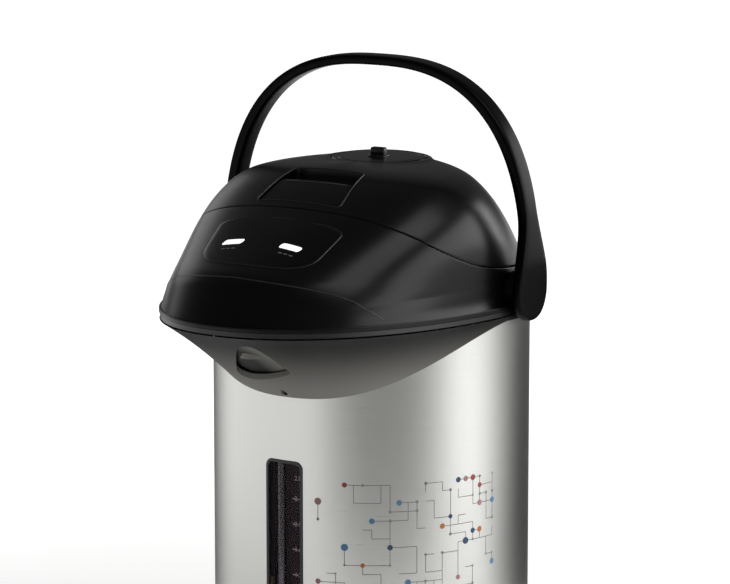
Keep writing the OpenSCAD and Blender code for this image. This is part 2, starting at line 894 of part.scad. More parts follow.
module lamp_board() {
    color("#2f6b3c") on_slope(-lamp_y, front_z(-lamp_y))
        translate([-lamp_x - lamp_w/2 - lamp_board_side, -lamp_board_w/2,
            -lamp_depth - lamp_board_t])
            cube([2*lamp_x + lamp_w + 2*lamp_board_side, lamp_board_w, lamp_board_t]);
}

module pivot_hubs() {
    color("#1d1d1e") for (s = [-1, 1]) difference() {
        rod_x(min(s*hub_in, s*(boss_in - fit_gap)), max(s*hub_in, s*(boss_in - fit_gap)),
            hub_r, pump_y, pivot_z);
        rod_x(min(s*(hub_in - 1), s*big), max(s*(hub_in - 1), s*big), pivot_r, pump_y, pivot_z);
    }
}

module pivot_pins() {
    color("#c9ccd0") for (s = [-1, 1])
        rod_x(min(s*hub_in, s*(boss_out - 2.5)), max(s*hub_in, s*(boss_out - 2.5)), pivot_r,
            pump_y, pivot_z);
}

// ---------------------------------------------------------------- handle

function arch_outline(half_w, h) = [
    for (i = [0:arch_steps])
        let (c = cos(180*i/arch_steps), s = sin(180*i/arch_steps))
        [half_w*sign(c)*pow(abs(c), 2/arch_power), h*pow(abs(s), 2/arch_power)]
];

// The handle's side view: a strap that widens towards its boss
module strap_side() {
    translate([-strap_w/2, 0]) square([strap_w, big]);
    hull() {
        circle(r = boss_r - 1);
        translate([-strap_w/2, 0]) square([strap_w, flare_h]);
    }
}

module handle() {
    color("#141416") difference() {
        union() {
            intersection() {
                translate([0, pump_y + boss_r, pivot_z]) rotate([90, 0, 0])
                    linear_extrude(2*boss_r) difference() {
                        polygon(arch_outline(arch_half_w, arch_h));
                        polygon(concat(arch_outline(arch_half_w - strap_t, arch_h - strap_t + 1),
                            [[strap_t - arch_half_w, -1], [arch_half_w - strap_t, -1]]));
                    }
                translate([-big/2, pump_y, pivot_z]) rotate([90, 0, 90]) linear_extrude(big)
                    strap_side();
            }
            for (s = [-1, 1]) rod_x(min(s*boss_in, s*boss_out), max(s*boss_in, s*boss_out),
                boss_r, pump_y, pivot_z);
        }
        for (s = [-1, 1]) rod_x(min(s*(boss_in - 5), s*(boss_out - 2)),
            max(s*(boss_in - 5), s*(boss_out - 2)), pivot_r + pin_clearance, pump_y, pivot_z);
    }
}

// ---------------------------------------------------------------- hinge

// Fixed half: a foot on the shoulder and two ears round the pin
module hinge_bracket() {
    color("#1a1a1b") difference() {
        union() {
            block([-hinge_w/2, hinge_y - hinge_r - hinge_depth, hinge_z - hinge_foot],
                [hinge_w/2, hinge_y - hinge_r, hinge_z - hinge_r - 1]);
            for (s = [-1, 1]) block([s*(hinge_w/2 - ear_w/2) - ear_w/2,
                hinge_y - hinge_r - 2, hinge_z - hinge_foot],
                [s*(hinge_w/2 - ear_w/2) + ear_w/2, hinge_y + hinge_r, hinge_z]);
            for (s = [-1, 1]) rod_x(s*(hinge_w/2 - ear_w/2) - ear_w/2,
                s*(hinge_w/2 - ear_w/2) + ear_w/2, hinge_r, hinge_y, hinge_z);
        }
        rod_x(-big, big, hinge_pin_r, hinge_y, hinge_z);
    }
}

module hinge_pin() {
    color("#c9ccd0") rod_x(-hinge_w/2, hinge_w/2, hinge_pin_r, hinge_y, hinge_z);
}

// Moving half: a barrel between the ears and an arm into the lid
module lid_hinge() {
    barrel = hinge_w/2 - ear_w - fit_gap;
    color("#1a1a1b") difference() {
        union() {
            rod_x(-barrel, barrel, hinge_r, hinge_y, hinge_z);
            block([-barrel, hinge_y - hinge_r - hinge_depth, hinge_z + 1],
                [barrel, hinge_y, hinge_z + hinge_r + 5]);
        }
        rod_x(-big, big, hinge_pin_r + pin_clearance, hinge_y, hinge_z);
    }
}

// ---------------------------------------------------------------- lid

// Space of the latch in the lid: a shallow recess with a deeper finger slot behind the lever
module latch_recess() {
    on_slope(latch_y, latch_z) {
        block([-latch_w/2, 0, -latch_depth], [latch_w/2, latch_l, big/8]);
        block([-latch_w/2 + 4, lever_l + 1, -finger_depth], [latch_w/2 - 4, latch_l, 0]);
    }
}

module lid_shell() {
    color("#1a1a1b") difference() {
        union() {
            intersection() {
                dome_solid(0);
                over_seam(seam_gap/2);
            }
            translate([0, pump_y, seam_front_z]) cylinder(h = pump_ring_top - seam_front_z,
                r = guide_in + pump_rim);
        }
        difference() {
            dome_solid(wall);
            on_slope(latch_y, latch_z) block([-latch_w/2 - wall, -wall, -finger_depth - wall],
                [latch_w/2 + wall, latch_l + wall, big/8]);
            translate([0, pump_y, 0]) cylinder(h = big, r = guide_in + guide_wall);
        }
        latch_recess();
        hook_slot();
        translate([0, pump_y, 0]) cylinder(h = big, r = guide_in);
        translate([0, pump_y, 0]) cylinder(h = pump_ring_top - 6, r = guide_in + guide_wall + 0.1);
        hinge_notch(0.1);
        on_slope(latch_y, latch_z) rod_x(-latch_w/2 - 1.5, latch_w/2 + 1.5, latch_pin_r,
            latch_pin_u, latch_pin_n);
    }
}

module lid_underplate() {
    color("#e4e2dc") difference() {
        intersection() {
            dome_solid(wall + plate_gap);
            seam_layer(seam_gap/2, seam_gap/2 + plate_t);
        }
        translate([0, pump_y, 0]) cylinder(h = big, r = bellows_r + 2);
        hinge_notch(0.1);
        on_slope(latch_y, latch_z) block([-latch_w/2 - wall - plate_gap, -big/8,
            -finger_depth - wall - plate_gap],
            [latch_w/2 + wall + plate_gap, latch_l + wall + plate_gap, big/8]);
        hook_slot();
    }
}

module lid_plug() {
    color("#e4e2dc") difference() {
        cylinder(h = big, r = plug_r);
        translate([0, 0, -1]) cylinder(h = plug_foot_z + 1, r = 2*plug_r);
        translate([0, 0, plug_foot_z - 1]) cylinder(h = plug_floor_z - plug_foot_z + 1,
            r = plug_r - plug_wall - 3);
        translate([0, 0, plug_floor_z + plug_wall]) cylinder(h = big, r = plug_r - plug_wall);
        over_seam(seam_gap/2);
        translate([0, pump_y, plug_floor_z - 1]) cylinder(h = big, r = 3);
    }
}

module lid_gasket() {
    color("#3a3a3c") translate([0, 0, plug_foot_z - gasket_t]) difference() {
        cylinder(h = gasket_t, r = plug_r);
        translate([0, 0, -1]) cylinder(h = big, r = plug_r - plug_wall - 3);
    }
}

// ---------------------------------------------------------------- latch

module latch_lever() {
    color("#1b1c1d") difference() {
        union() {
            on_slope(latch_y, latch_z) {
                block([-latch_w/2 + lever_gap, 1.5, lever_top - lever_t],
                    [latch_w/2 - lever_gap, lever_l, lever_top]);
                for (x = [-lug_x, 0, lug_x]) {
                    half = x == 0 ? hook_w/2 : lug_w/2;
                    rod_x(x - half, x + half, barrel_r, latch_pin_u, latch_pin_n);
                    block([x - half + 0.25, latch_pin_u - barrel_r + 0.6, latch_pin_n],
                        [x + half - 0.25, latch_pin_u + barrel_r - 0.6, lever_top - lever_t/2]);
                }
            }
            block([0.5 - hook_w/2, hook_front, pin_z - hook_drop],
                [hook_w/2 - 0.5, hook_front + hook_t, pin_z + 0.3]);
        }
        on_slope(latch_y, latch_z)
            rod_x(-big, big, latch_pin_r + pin_clearance, latch_pin_u, latch_pin_n);
    }
}

module latch_pin() {
    color("#c9ccd0") on_slope(latch_y, latch_z) rod_x(-latch_w/2 - 1.4, latch_w/2 + 1.4,
        latch_pin_r, latch_pin_u, latch_pin_n);
}

// Stop under the shoulder's deck, in front of the hook
module latch_catch() {
    color("#b0b3b8") difference() {
        block([-hook_w/2 - 4, hook_front - fit_gap - catch_t, pin_z - hook_drop],
            [hook_w/2 + 4, hook_front - fit_gap, pin_z]);
        over_seam(-seam_gap/2 - deck_t);
    }
}

// ---------------------------------------------------------------- pump

module pump_guide() {
    color("#d4d3ce") intersection() {
        translate([0, pump_y, 0]) difference() {
            cylinder(h = pump_ring_top - 6, r = guide_in + guide_wall);
            translate([0, 0, -1]) cylinder(h = big, r = guide_in);
        }
        over_seam(seam_gap/2 + plate_t);
    }
}

module pump_plate() {
    color("#1a1a1b") translate([0, pump_y, pump_top]) difference() {
        translate([0, 0, -pump_cap_t - pump_skirt]) cylinder(h = pump_cap_t + pump_skirt, r = pump_r);
        translate([0, 0, -pump_cap_t - pump_skirt - 1]) cylinder(h = pump_skirt + 1,
            r = pump_r - 1.8);
        translate([0, 0, -knob_seat]) cylinder(h = 2, r = knob_r + fit_gap);
        translate([0, 0, -pump_cap_t - 1]) cylinder(h = big, r = stem_r + pin_clearance);
    }
}

module pump_rod() {
    color("#d4d3ce") translate([0, pump_y, bellows_top - rod_l]) difference() {
        cylinder(h = rod_l, r = rod_r);
        translate([0, 0, rod_l - stem_l - fit_gap]) cylinder(h = rod_l, r = stem_r + pin_clearance);
    }
}

module lock_knob() {
    color("#2a2a2b") translate([0, pump_y, pump_top]) {
        translate([0, 0, -knob_seat]) cylinder(h = knob_seat + 0.8, r = knob_r);
        translate([-knob_w/2, -2.5, 0]) cube([knob_w, 5, knob_h]);
        translate([0, 0, -pump_cap_t - stem_l]) cylinder(h = pump_cap_t + stem_l, r = stem_r);
    }
}

// Pleated wall of the bellows, from its foot to its top
module bellows() {
    fold = (bellows_top - bellows_foot - fit_gap)/bellows_folds/2;
    outer = [for (i = [0:2*bellows_folds])
        [bellows_r - (i % 2 == 0 ? bellows_fold_depth : 0), bellows_foot + i*fold]];
    inner = [for (i = [2*bellows_folds:-1:0])
        [bellows_r - bellows_wall - (i % 2 == 0 ? bellows_fold_depth : 0), bellows_foot + i*fold]];
    color("#c9c4b4") translate([0, pump_y, 0]) rotate_extrude() polygon(concat(outer, inner));
}

// Coil spring, swept along its helix
module pump_spring() {
    foot = bellows_foot + spring_wire;
    pitch = (bellows_top - bellows_foot - 2*spring_wire - fit_gap)/spring_turns;
    last = spring_turns*spring_steps;
    points = [for (i = [0:last], k = [0:spring_sides - 1])
        let (a = 360*i/spring_steps, b = 360*k/spring_sides,
             r = spring_r + spring_wire*cos(b))
        [r*cos(a), pump_y + r*sin(a), foot + pitch*i/spring_steps + spring_wire*sin(b)]];
    sides = [for (i = [0:last - 1], k = [0:spring_sides - 1], half = [0, 1])
        let (n = (k + 1) % spring_sides, a = i*spring_sides + k, b = i*spring_sides + n)
        half == 0 ? [a, b + spring_sides, b] : [a, a + spring_sides, b + spring_sides]];
    ends = [[for (k = [0:spring_sides - 1]) k],
        [for (k = [spring_sides - 1:-1:0]) last*spring_sides + k]];
    color("#b0b3b8") polyhedron(points, concat(sides, ends));
}

module air_valve() {
    color("#3a3a3c") translate([0, pump_y, plug_floor_z - valve_t]) difference() {
        cylinder(h = valve_t, r = valve_r);
        translate([0, 0, -1]) cylinder(h = valve_t + 2, r = 2.5);
    }
}

// ---------------------------------------------------------------- output

non_slip_pad();
swivel_plate();
swivel_washer();
base_pan();
base_screws();
power_board();
power_inlet();
inlet_pins();
inlet_magnets();
heat_shield();
thermostat();
thermal_fuse();
disc_heater();
band_heater();
inner_container();
outer_casing();
collar();
window_frame();
window_lens();
scale_plate();
gauge_elbow();
gauge_tube();
spout_pipe();
spout_nozzle();
spout_cover();
cover_screw();
rim_trim();
shoulder_cover();
control_panel();
lamp_lenses();
lamp_board();
pivot_hubs();
pivot_pins();
handle();
hinge_bracket();
hinge_pin();
latch_catch();
lid_shell();
lid_underplate();
lid_hinge();
lid_plug();
lid_gasket();
latch_lever();
latch_pin();
pump_guide();
pump_plate();
pump_rod();
lock_knob();
bellows();
pump_spring();
air_valve();
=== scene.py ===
"""Electric thermo pot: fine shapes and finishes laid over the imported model, and its studio."""
import logging
import math
from dataclasses import dataclass
from enum import Enum
from typing import Callable, Sequence

import bmesh
import bpy
import numpy as np
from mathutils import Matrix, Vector


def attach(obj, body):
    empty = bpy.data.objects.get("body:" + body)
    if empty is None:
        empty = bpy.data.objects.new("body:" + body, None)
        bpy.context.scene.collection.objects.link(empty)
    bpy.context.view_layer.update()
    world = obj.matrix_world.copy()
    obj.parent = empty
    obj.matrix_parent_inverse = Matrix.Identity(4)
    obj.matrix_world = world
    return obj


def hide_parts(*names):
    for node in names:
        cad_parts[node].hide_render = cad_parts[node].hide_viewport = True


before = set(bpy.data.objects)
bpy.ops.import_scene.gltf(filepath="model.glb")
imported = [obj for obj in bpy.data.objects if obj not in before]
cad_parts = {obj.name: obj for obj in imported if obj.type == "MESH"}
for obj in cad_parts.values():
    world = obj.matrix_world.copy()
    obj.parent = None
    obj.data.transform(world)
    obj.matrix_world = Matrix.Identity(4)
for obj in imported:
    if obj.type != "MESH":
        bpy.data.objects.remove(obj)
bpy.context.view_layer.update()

MM = 0.001
log = logging.getLogger("thermo_pot")
Piece = bpy.types.Object
Tree = bpy.types.NodeTree
Socket = bpy.types.NodeSocket
Array = np.ndarray
Pair = tuple[float, float]
Triple = tuple[float, float, float]
Section = tuple[Pair, ...]
Place = Callable[[Array, float], Array]
LEAST_ROUGHNESS = 0.02
WELD = 2e-6  # points closer than this become one, in metres
SHARP_DEG = 32.0
HINGE_NOTCH = ((-26.1, 83.5, 262.0), (26.1, 130.0, 294.5))
CUTTER_HEIGHTS = (300.0, 380.0)


# ---------------------------------------------------------------- finishes

def linear(code: str) -> tuple[float, float, float, float]:
    """Turns an sRGB hex colour to linear light.

    Args:
        code: colour such as "#8f9193".
    Returns:
        Linear red, green and blue, with an alpha of 1.
    """
    parts = [int(code[i:i + 2], 16)/255 for i in (1, 3, 5)]
    red, green, blue = [v/12.92 if v <= 0.04045 else ((v + 0.055)/1.055)**2.4 for v in parts]
    return red, green, blue, 1.0


def add(tree: Tree, kind: str, inputs: dict | None = None, **settings) -> bpy.types.Node:
    """Adds a node with its settings, values and links.

    Args:
        tree: the node tree.
        kind: the node's type name.
        inputs: value or source socket for each input, by name or number.
        settings: the node's own properties.
    Returns:
        The new node.
    """
    node = tree.nodes.new(kind)
    for key, value in settings.items():
        setattr(node, key, value)
    for key, value in (inputs or {}).items():
        if isinstance(value, Socket):
            tree.links.new(value, node.inputs[key])
        else:
            node.inputs[key].default_value = value
    return node


def compute(tree: Tree, operation: str, *values: float | Socket) -> Socket:
    """Result of a math node on values or sockets."""
    return add(tree, "ShaderNodeMath", dict(enumerate(values)), operation=operation).outputs[0]


def blend(tree: Tree, share: float | Socket, first: Sequence[float] | Socket,
          second: Sequence[float] | Socket) -> Socket:
    """Mix of two colours, given as values or sockets."""
    return add(tree, "ShaderNodeMix", {0: share, 6: first, 7: second}, data_type="RGBA").outputs[2]


def ramp(tree: Tree, value: Socket, low: float, high: float, **ends: float) -> Socket:
    """Smooth share of the way that a value has gone from low to high.

    Args:
        tree: tree that the node is added to.
        value: socket that is read.
        low: value at which the share starts.
        high: value at which it is full.
        ends: other sockets of the node, such as the results at both ends.
    Returns:
        The socket that gives the share.
    """
    ends = {"Value": value, "From Min": low, "From Max": high, **ends}
    made = add(tree, "ShaderNodeMapRange", ends, interpolation_type="SMOOTHSTEP")
    return made.outputs["Result"]


def cleared(owner: bpy.types.Material | bpy.types.World) -> Tree:
    """Emptied node tree of a material or world.

    Args:
        owner: the material or world.
    Returns:
        Its tree, without nodes.
    """
    owner.use_nodes = True
    owner.node_tree.nodes.clear()
    return owner.node_tree


def show(tree: Tree, shader: Socket, kind: str = "Material") -> None:
    """Sends a shader to a new output of the tree."""
    tree.links.new(shader, add(tree, f"ShaderNodeOutput{kind}").inputs["Surface"])


class Grain(Enum):
    """How a surface was made, as the stretch of its pattern along X, Y and Z."""

    MOULDED = (1.0, 1.0, 1.0)
    ROUND_BRUSHED = (0.02, 0.02, 1.0)
    LENGTH_BRUSHED = (1.0, 0.05, 1.0)


@dataclass(frozen=True)
class Finish:
    """One material: its colours in sRGB hex, its gloss and its pattern's real size."""

    name: str
    colour: str
    shade: str
    roughness: float
    pitch_mm: float
    relief_mm: float = 0.004
    gloss_spread: float = 0.05
    grain: Grain = Grain.MOULDED
    metallic: float = 0.0
    specular: float = 0.5
    clear: float = 0.0
    ior: float = 1.5
    glow: float = 0.0
    # painted light and shade: an axis, where the change starts and ends, and the colour that the
    # surface turns to
    painted_shading: tuple[str, float, float, str] | None = None

    def material(self) -> bpy.types.Material:
        """Makes the material, or returns it if it was made before.

        Returns:
            A node material whose colour, gloss and relief follow one noise pattern.
        """
        made = bpy.data.materials.get(self.name)
        if made:
            return made
        made = bpy.data.materials.new(self.name)
        tree = cleared(made)
        where = add(tree, "ShaderNodeTexCoord").outputs["Object"]
        spread = add(tree, "ShaderNodeMapping", {"Vector": where, "Scale": self.grain.value})
        noise = add(tree, "ShaderNodeTexNoise", {"Vector": spread.outputs["Vector"], "Detail": 3.0,
                                                 "Scale": 1/MM/self.pitch_mm}).outputs["Fac"]
        colour = blend(tree, noise, linear(self.colour), linear(self.shade))
        # painted light and shade: the colour turns to another one along an axis of the piece
        if self.painted_shading:
            axis, low, high, end = self.painted_shading
            apart = add(tree, "ShaderNodeSeparateXYZ", {"Vector": where})
            share = ramp(tree, apart.outputs[axis], low*MM, high*MM)
            colour = blend(tree, share, colour, linear(end))
        gloss = add(tree, "ShaderNodeMapRange", {
            "Value": noise, "To Min": max(LEAST_ROUGHNESS, self.roughness - self.gloss_spread),
            "To Max": self.roughness + self.gloss_spread})
        relief = add(tree, "ShaderNodeBump", {
            "Height": noise, "Distance": self.relief_mm*MM, "Strength": 1.0})
        shader = add(tree, "ShaderNodeBsdfPrincipled", {
            "Base Color": colour, "Roughness": gloss.outputs["Result"],
            "Normal": relief.outputs["Normal"], "Metallic": self.metallic,
            "Specular IOR Level": self.specular, "Transmission Weight": self.clear,
            "Emission Color": linear(self.colour), "Emission Strength": self.glow})
        if not self.metallic:
            shader.inputs["IOR"].default_value = self.ior
        show(tree, shader.outputs[0])
        return made


# Glossy injection-moulded black ABS, with a slight ripple of the mould
BLACK_GLOSS = Finish("black_gloss_abs", "#040404", "#070707", 0.29, 6, 0.002, 0.03, specular=0.2)
# The same ABS on the panel, printed over and lacquered: a little glossier than the shoulder
PANEL_BLACK = Finish("panel_black_abs", "#050505", "#080808", 0.24, 4, 0.002, 0.03, specular=0.18)
# Narrow moulded edges, coloured lighter grey than the black ABS as a painted highlight where they
# catch the light
EDGE_HIGHLIGHT = Finish("painted_edge_highlight", "#2b2b2a", "#343433", 0.3, 2, 0.003)
# Satin lacquer over ABS, with painted shade: darker towards the rim, which overhangs it
SATIN_GREY = Finish("satin_lacquer", "#a5a39f", "#aaa8a4", 0.5, 1.2, 0.004,
                    painted_shading=("Z", 214, 262, "#1b1b1b"), specular=0.12)
# Moulded polypropylene chute, painted with light and shade: black at its left as painted shade of
# the nose, light grey at its right as painted light
CHUTE_GREY = Finish("chute_pp", "#050505", "#080808", 0.5, 1.5, 0.006,
                    painted_shading=("X", -4, 14, "#8a8a84"), specular=0.1)
# Black ABS of the handle, which shines less than the head
HANDLE_BLACK = Finish("handle_black_abs", "#040404", "#070707", 0.3, 5, 0.002, 0.03, specular=0.06)
# Fine-spark moulded polypropylene of the base
BASE_GREY = Finish("spark_moulded_pp", "#3a3b3d", "#424345", 0.55, 0.9, 0.02)
# Rubber of the foot ring and of the gaskets, matt with talc marks
FOOT_RUBBER = Finish("nitrile_rubber", "#242425", "#2e2e2f", 0.8, 1.6, 0.03, specular=0.3)
# Brushed ferritic stainless sheet, clear lacquered. The brush lines run round the body and are
# drawn 0.5 mm apart, coarser than the real 0.1 mm, so that they show.
CASING_STEEL = Finish("brushed_steel_sheet", "#c8c8c5", "#d0d0cd", 0.3, 0.5, 0.002, 0.05,
                      Grain.ROUND_BRUSHED, metallic=1.0)
# Drawn and polished 18/8 stainless steel
POLISHED_STEEL = Finish("polished_steel", "#c6c8ca", "#b8babd", 0.22, 0.8, 0.002, 0.06,
                        Grain.ROUND_BRUSHED, metallic=1.0)
# Turned steel pins, springs and screws
TURNED_STEEL = Finish("turned_steel", "#b4b7ba", "#9fa2a6", 0.3, 0.4, 0.003, 0.08,
                      Grain.LENGTH_BRUSHED, metallic=1.0)
# Galvanised sheet of the heat shield, with its spangle of about 6 mm
SPANGLED_ZINC = Finish("galvanised_sheet", "#b9bdc1", "#a2a7ac", 0.42, 6, 0.004, 0.1, metallic=1.0)
# Rolled brass of the contact pins
PIN_BRASS = Finish("rolled_brass", "#cda85c", "#b8924a", 0.28, 0.5, 0.002, 0.06, metallic=1.0)
# Steatite of the thermostat
STEATITE = Finish("glazed_steatite", "#dcd7ca", "#cfc9ba", 0.4, 2.5, 0.01)
# Mica plate round the heaters, in flakes
MICA = Finish("mica_plate", "#a89266", "#8d784f", 0.45, 5, 0.02, 0.15, specular=0.6)
# Epoxy glass board under green solder mask
BOARD_GREEN = Finish("solder_mask", "#2c6339", "#27572f", 0.35, 1.5, 0.006)
# Natural polypropylene of the mouth ring, plug and pump
PALE_PP = Finish("natural_polypropylene", "#e2dfd7", "#d8d5cc", 0.48, 3, 0.008)
# Silicone rubber of the bellows
SILICONE = Finish("translucent_silicone", "#cfc9b8", "#c2bcab", 0.55, 2, 0.01, specular=0.4)
# Grey acetal of the nozzle behind the chute
ACETAL_GREY = Finish("grey_acetal", "#a3a19c", "#969490", 0.4, 1.5, 0.006)
# Moulded acrylic of the window, clear with a few moulding waves
WINDOW_ACRYLIC = Finish("window_acrylic", "#efe6ec", "#e9e0e6", 0.06, 12, 0.001, 0.02, clear=1.0,
                        ior=1.12)
# Drawn borosilicate tube
TUBE_GLASS = Finish("borosilicate_tube", "#eef2f2", "#e8eeee", 0.04, 9, 0.001, 0.02, clear=1.0)
# Plum-tinted styrene plate behind the gauge
PLUM_PLATE = Finish("plum_styrene", "#2b1e27", "#251a22", 0.5, 2, 0.006, specular=0.2)
# Black styrene of the window's bezel and of the knob; on the strip under the rim this black is
# painted shade of the gap
BEZEL_BLACK = Finish("bezel_black_styrene", "#141416", "#1a1a1c", 0.3, 1.2, 0.004)
# Opal acrylic of the two lamps, lit from behind
LAMP_OPAL = Finish("opal_acrylic", "#ffffff", "#f6f6f2", 0.3, 3, 0.002, glow=0.9)
# Pad-printed marks of the level scale, off-white, and of the lamps, grey
WHITE_PRINT = Finish("white_pad_print", "#b9b4b8", "#aaa5a9", 0.6, 0.5, 0.002)
GREY_PRINT = Finish("grey_pad_print", "#8c8c8a", "#7e7e7c", 0.6, 0.5, 0.002)


class Ink(Enum):
    """Colours of the screen-printed design, each a thin matt coat with a slight mottle."""

    STEM = Finish("ink_stem_grey", "#7d7e7b", "#8b8c88", 0.5, 1.5, 0.002)
    BRICK = Finish("ink_brick", "#a5473d", "#b1544a", 0.5, 1.2, 0.002)
    AMBER = Finish("ink_amber", "#cf7d45", "#d88a55", 0.5, 1.2, 0.002)
    BLUE = Finish("ink_blue", "#5f8fb4", "#6c9abd", 0.5, 1.2, 0.002)
    NAVY = Finish("ink_navy", "#37516f", "#425c7a", 0.5, 1.2, 0.002)
    ROSE = Finish("ink_rose", "#bd8a8c", "#c69698", 0.5, 1.2, 0.002)
    MIST = Finish("ink_mist", "#979894", "#a2a39f", 0.5, 1.2, 0.002)


# ---------------------------------------------------------------- mesh tools

def placed(name: str, data: bpy.types.ID) -> Piece:
    """New object with that data, linked to the scene.

    Args:
        name: name of the object.
        data: its mesh, camera, light or curve.
    Returns:
        The object.
    """
    made = bpy.data.objects.new(name, data)
    bpy.context.scene.collection.objects.link(made)
    return made


def evaluated(piece: Piece) -> bpy.types.Mesh:
    """New mesh of a piece as its modifiers leave it."""
    graph = bpy.context.evaluated_depsgraph_get()
    return bpy.data.meshes.new_from_object(piece.evaluated_get(graph))


def turn_out(mesh: bpy.types.Mesh, weld: float = 0.0) -> None:
    """Joins points closer than weld, and turns a closed mesh's faces outwards.

    Args:
        mesh: mesh that is changed.
        weld: distance in metres, 0 to join none.
    """
    work = bmesh.new()
    work.from_mesh(mesh)
    if weld:
        bmesh.ops.remove_doubles(work, verts=work.verts, dist=weld)
    bmesh.ops.recalc_face_normals(work, faces=work.faces)
    work.to_mesh(mesh)
    work.free()


def turns(count: int) -> Array:
    """Angles at even distances round one turn."""
    return np.linspace(0, 2*math.pi, count, endpoint=False)


def bulged(value: Array, power: float) -> Array:
    """Power of a sine or cosine that keeps its sign, for superellipses."""
    return np.sign(value)*np.abs(value)**power


def smooth(share: Array | float) -> Array | float:
    """Share from 0 to 1 that starts and ends level."""
    return share**2*(3 - 2*share)


def bisect(count: int | tuple[int, ...], low: float | Array, high: float,
           beyond: Callable[[Array], Array],
           rounds: int = 22) -> tuple[Array, Array]:
    """Finds where a test turns true, many values at once.

    Args:
        count: shape of the values.
        low: where the test is false.
        high: where the test is true.
        beyond: the test.
        rounds: how often the range is halved.
    Returns:
        The last values at which the test is false and true.
    """
    low, high = np.full(count, low), np.full(count, high)
    for _ in range(rounds):
        mid = (low + high)/2
        over = beyond(mid)
        low, high = np.where(over, low, mid), np.where(over, mid, high)
    return low, high


def piece_of(name: str, vertices: Array, faces: list, finish: Finish,
             sharp_deg: float = SHARP_DEG) -> Piece:
    """Makes an object from points in millimetres, with its faces turned outwards.

    Args:
        name: the piece's name.
        vertices: points of shape (n, 3), in millimetres.
        faces: vertex numbers of each face.
        finish: the piece's finish.
        sharp_deg: edges sharper than this stay sharp.
    Returns:
        The new object, linked to the scene.
    """
    mesh = bpy.data.meshes.new(name)
    mesh.from_pydata((np.asarray(vertices)*MM).tolist(), [], faces)
    turn_out(mesh, WELD)
    made = placed(name, mesh)
    made.data.materials.append(finish.material())
    soften(made, sharp_deg)
    return made


def soften(piece: Piece, sharp_deg: float = SHARP_DEG) -> None:
    """Shades a piece smooth, but keeps edges sharper than sharp_deg."""
    piece.data.shade_smooth()
    piece.data.set_sharp_from_angle(angle=math.radians(sharp_deg))


def loops(rows: Sequence[Array], wrap: bool = False) -> tuple[Array, list]:
    """Joins closed rings of points into one skin.

    Args:
        rows: rings with the same number of points.
        wrap: the last ring joins the first; otherwise both ends are closed with a face.
    Returns:
        Points and faces.
    """
    count = len(rows[0])
    total = len(rows)
    faces = []
    for r in range(total if wrap else total - 1):
        a, b = r*count, ((r + 1) % total)*count
        faces += [(a + i, a + (i + 1) % count, b + (i + 1) % count, b + i) for i in range(count)]
    if not wrap:
        faces.append(tuple(range(count)))
        faces.append(tuple(reversed(range((total - 1)*count, total*count))))
    return np.concatenate(rows), faces


def join(name: str, pieces: Sequence[Piece]) -> Piece:
    """Joins pieces into one object of that name.

    Args:
        name: name of the result.
        pieces: pieces that it takes in.
    Returns:
        The one piece, with the finish of each part kept.
    """
    work = bmesh.new()
    finishes: list[bpy.types.Material] = []
    for part in pieces:
        start = len(work.faces)
        work.from_mesh(part.data)
        work.faces.ensure_lookup_table()
        slots = []
        for material in part.data.materials:
            if material not in finishes:
                finishes.append(material)
            slots.append(finishes.index(material))
        for face in work.faces[start:]:
            face.material_index = slots[face.material_index]
    mesh = bpy.data.meshes.new(name)
    work.to_mesh(mesh)
    work.free()
    for part in pieces:
        bpy.data.objects.remove(part)
    for material in finishes:
        mesh.materials.append(material)
    made = placed(name, mesh)
    soften(made)
    return made


def raised(xy: Array, z: float | Array) -> Array:
    """Plan points put at a height."""
    return np.column_stack([xy, np.full(len(xy), z)])


def cut(piece: Piece, *cutters: Piece) -> Piece:
    """Cuts the cutters out of a piece and removes them.

    Args:
        piece: piece that is cut.
        cutters: pieces that are cut out of it.
    Returns:
        The cut piece.
    """
    for cutter in cutters:
        step = piece.modifiers.new("cut", "BOOLEAN")
        step.operation = "DIFFERENCE"
        step.solver = "EXACT"
        step.object = cutter
        mesh = evaluated(piece)
        piece.modifiers.remove(step)
        piece.data = mesh
        bpy.data.objects.remove(cutter)
    soften(piece)
    return piece


def prism(name: str, outline: Array, ends: Pair, finish: Finish,
          upright: bool = True) -> Piece:
    """Cutter with one outline from end to end.

    Args:
        name: the cutter's name.
        outline: plan outline, or the outline seen from the front.
        ends: lowest and highest Z of a plan outline; nearest and farthest Y of a front one.
        finish: finish of the faces it cuts.
        upright: the outline is a plan.
    Returns:
        The cutter.
    """
    rows = [raised(outline, end) for end in ends]
    if not upright:
        rows = [row[:, [0, 2, 1]] for row in rows]
    return piece_of(name, *loops(rows), finish)


def rounded_outline(w: float, h: float, r: float, lean: float = 0.0) -> Array:
    """Rounded rectangle about the origin, leaning sideways by lean over its height.

    Args:
        w: width.
        h: height.
        r: radius of the corners.
        lean: how far the top stands aside.
    Returns:
        Its points, in turn.
    """
    steps, spacing = 8, 1.5
    points = []
    for corner, (sx, sy) in enumerate(((1, 1), (-1, 1), (-1, -1), (1, -1))):
        for i in range(steps + 1):
            a = math.radians(90*corner + 90*i/steps)
            points.append((sx*(w/2 - r) + r*math.cos(a), sy*(h/2 - r) + r*math.sin(a)))
    outline = np.array(points)
    # straight sides get points of their own, so that a skin can follow a curved surface
    dense = []
    for a, b in zip(outline, np.roll(outline, -1, 0)):
        parts = max(1, int(np.hypot(*(b - a))/spacing))
        dense += [a + (b - a)*k/parts for k in range(parts)]
    outline = np.array(dense)
    outline[:, 0] += outline[:, 1]*lean/h
    return outline


def oval(half_w: float, half_l: float, power: float, steps: int = 128) -> Array:
    """Superellipse about the origin."""
    a = turns(steps)
    return np.stack([half_w*bulged(np.cos(a), 2/power), half_l*bulged(np.sin(a), 2/power)], 1)


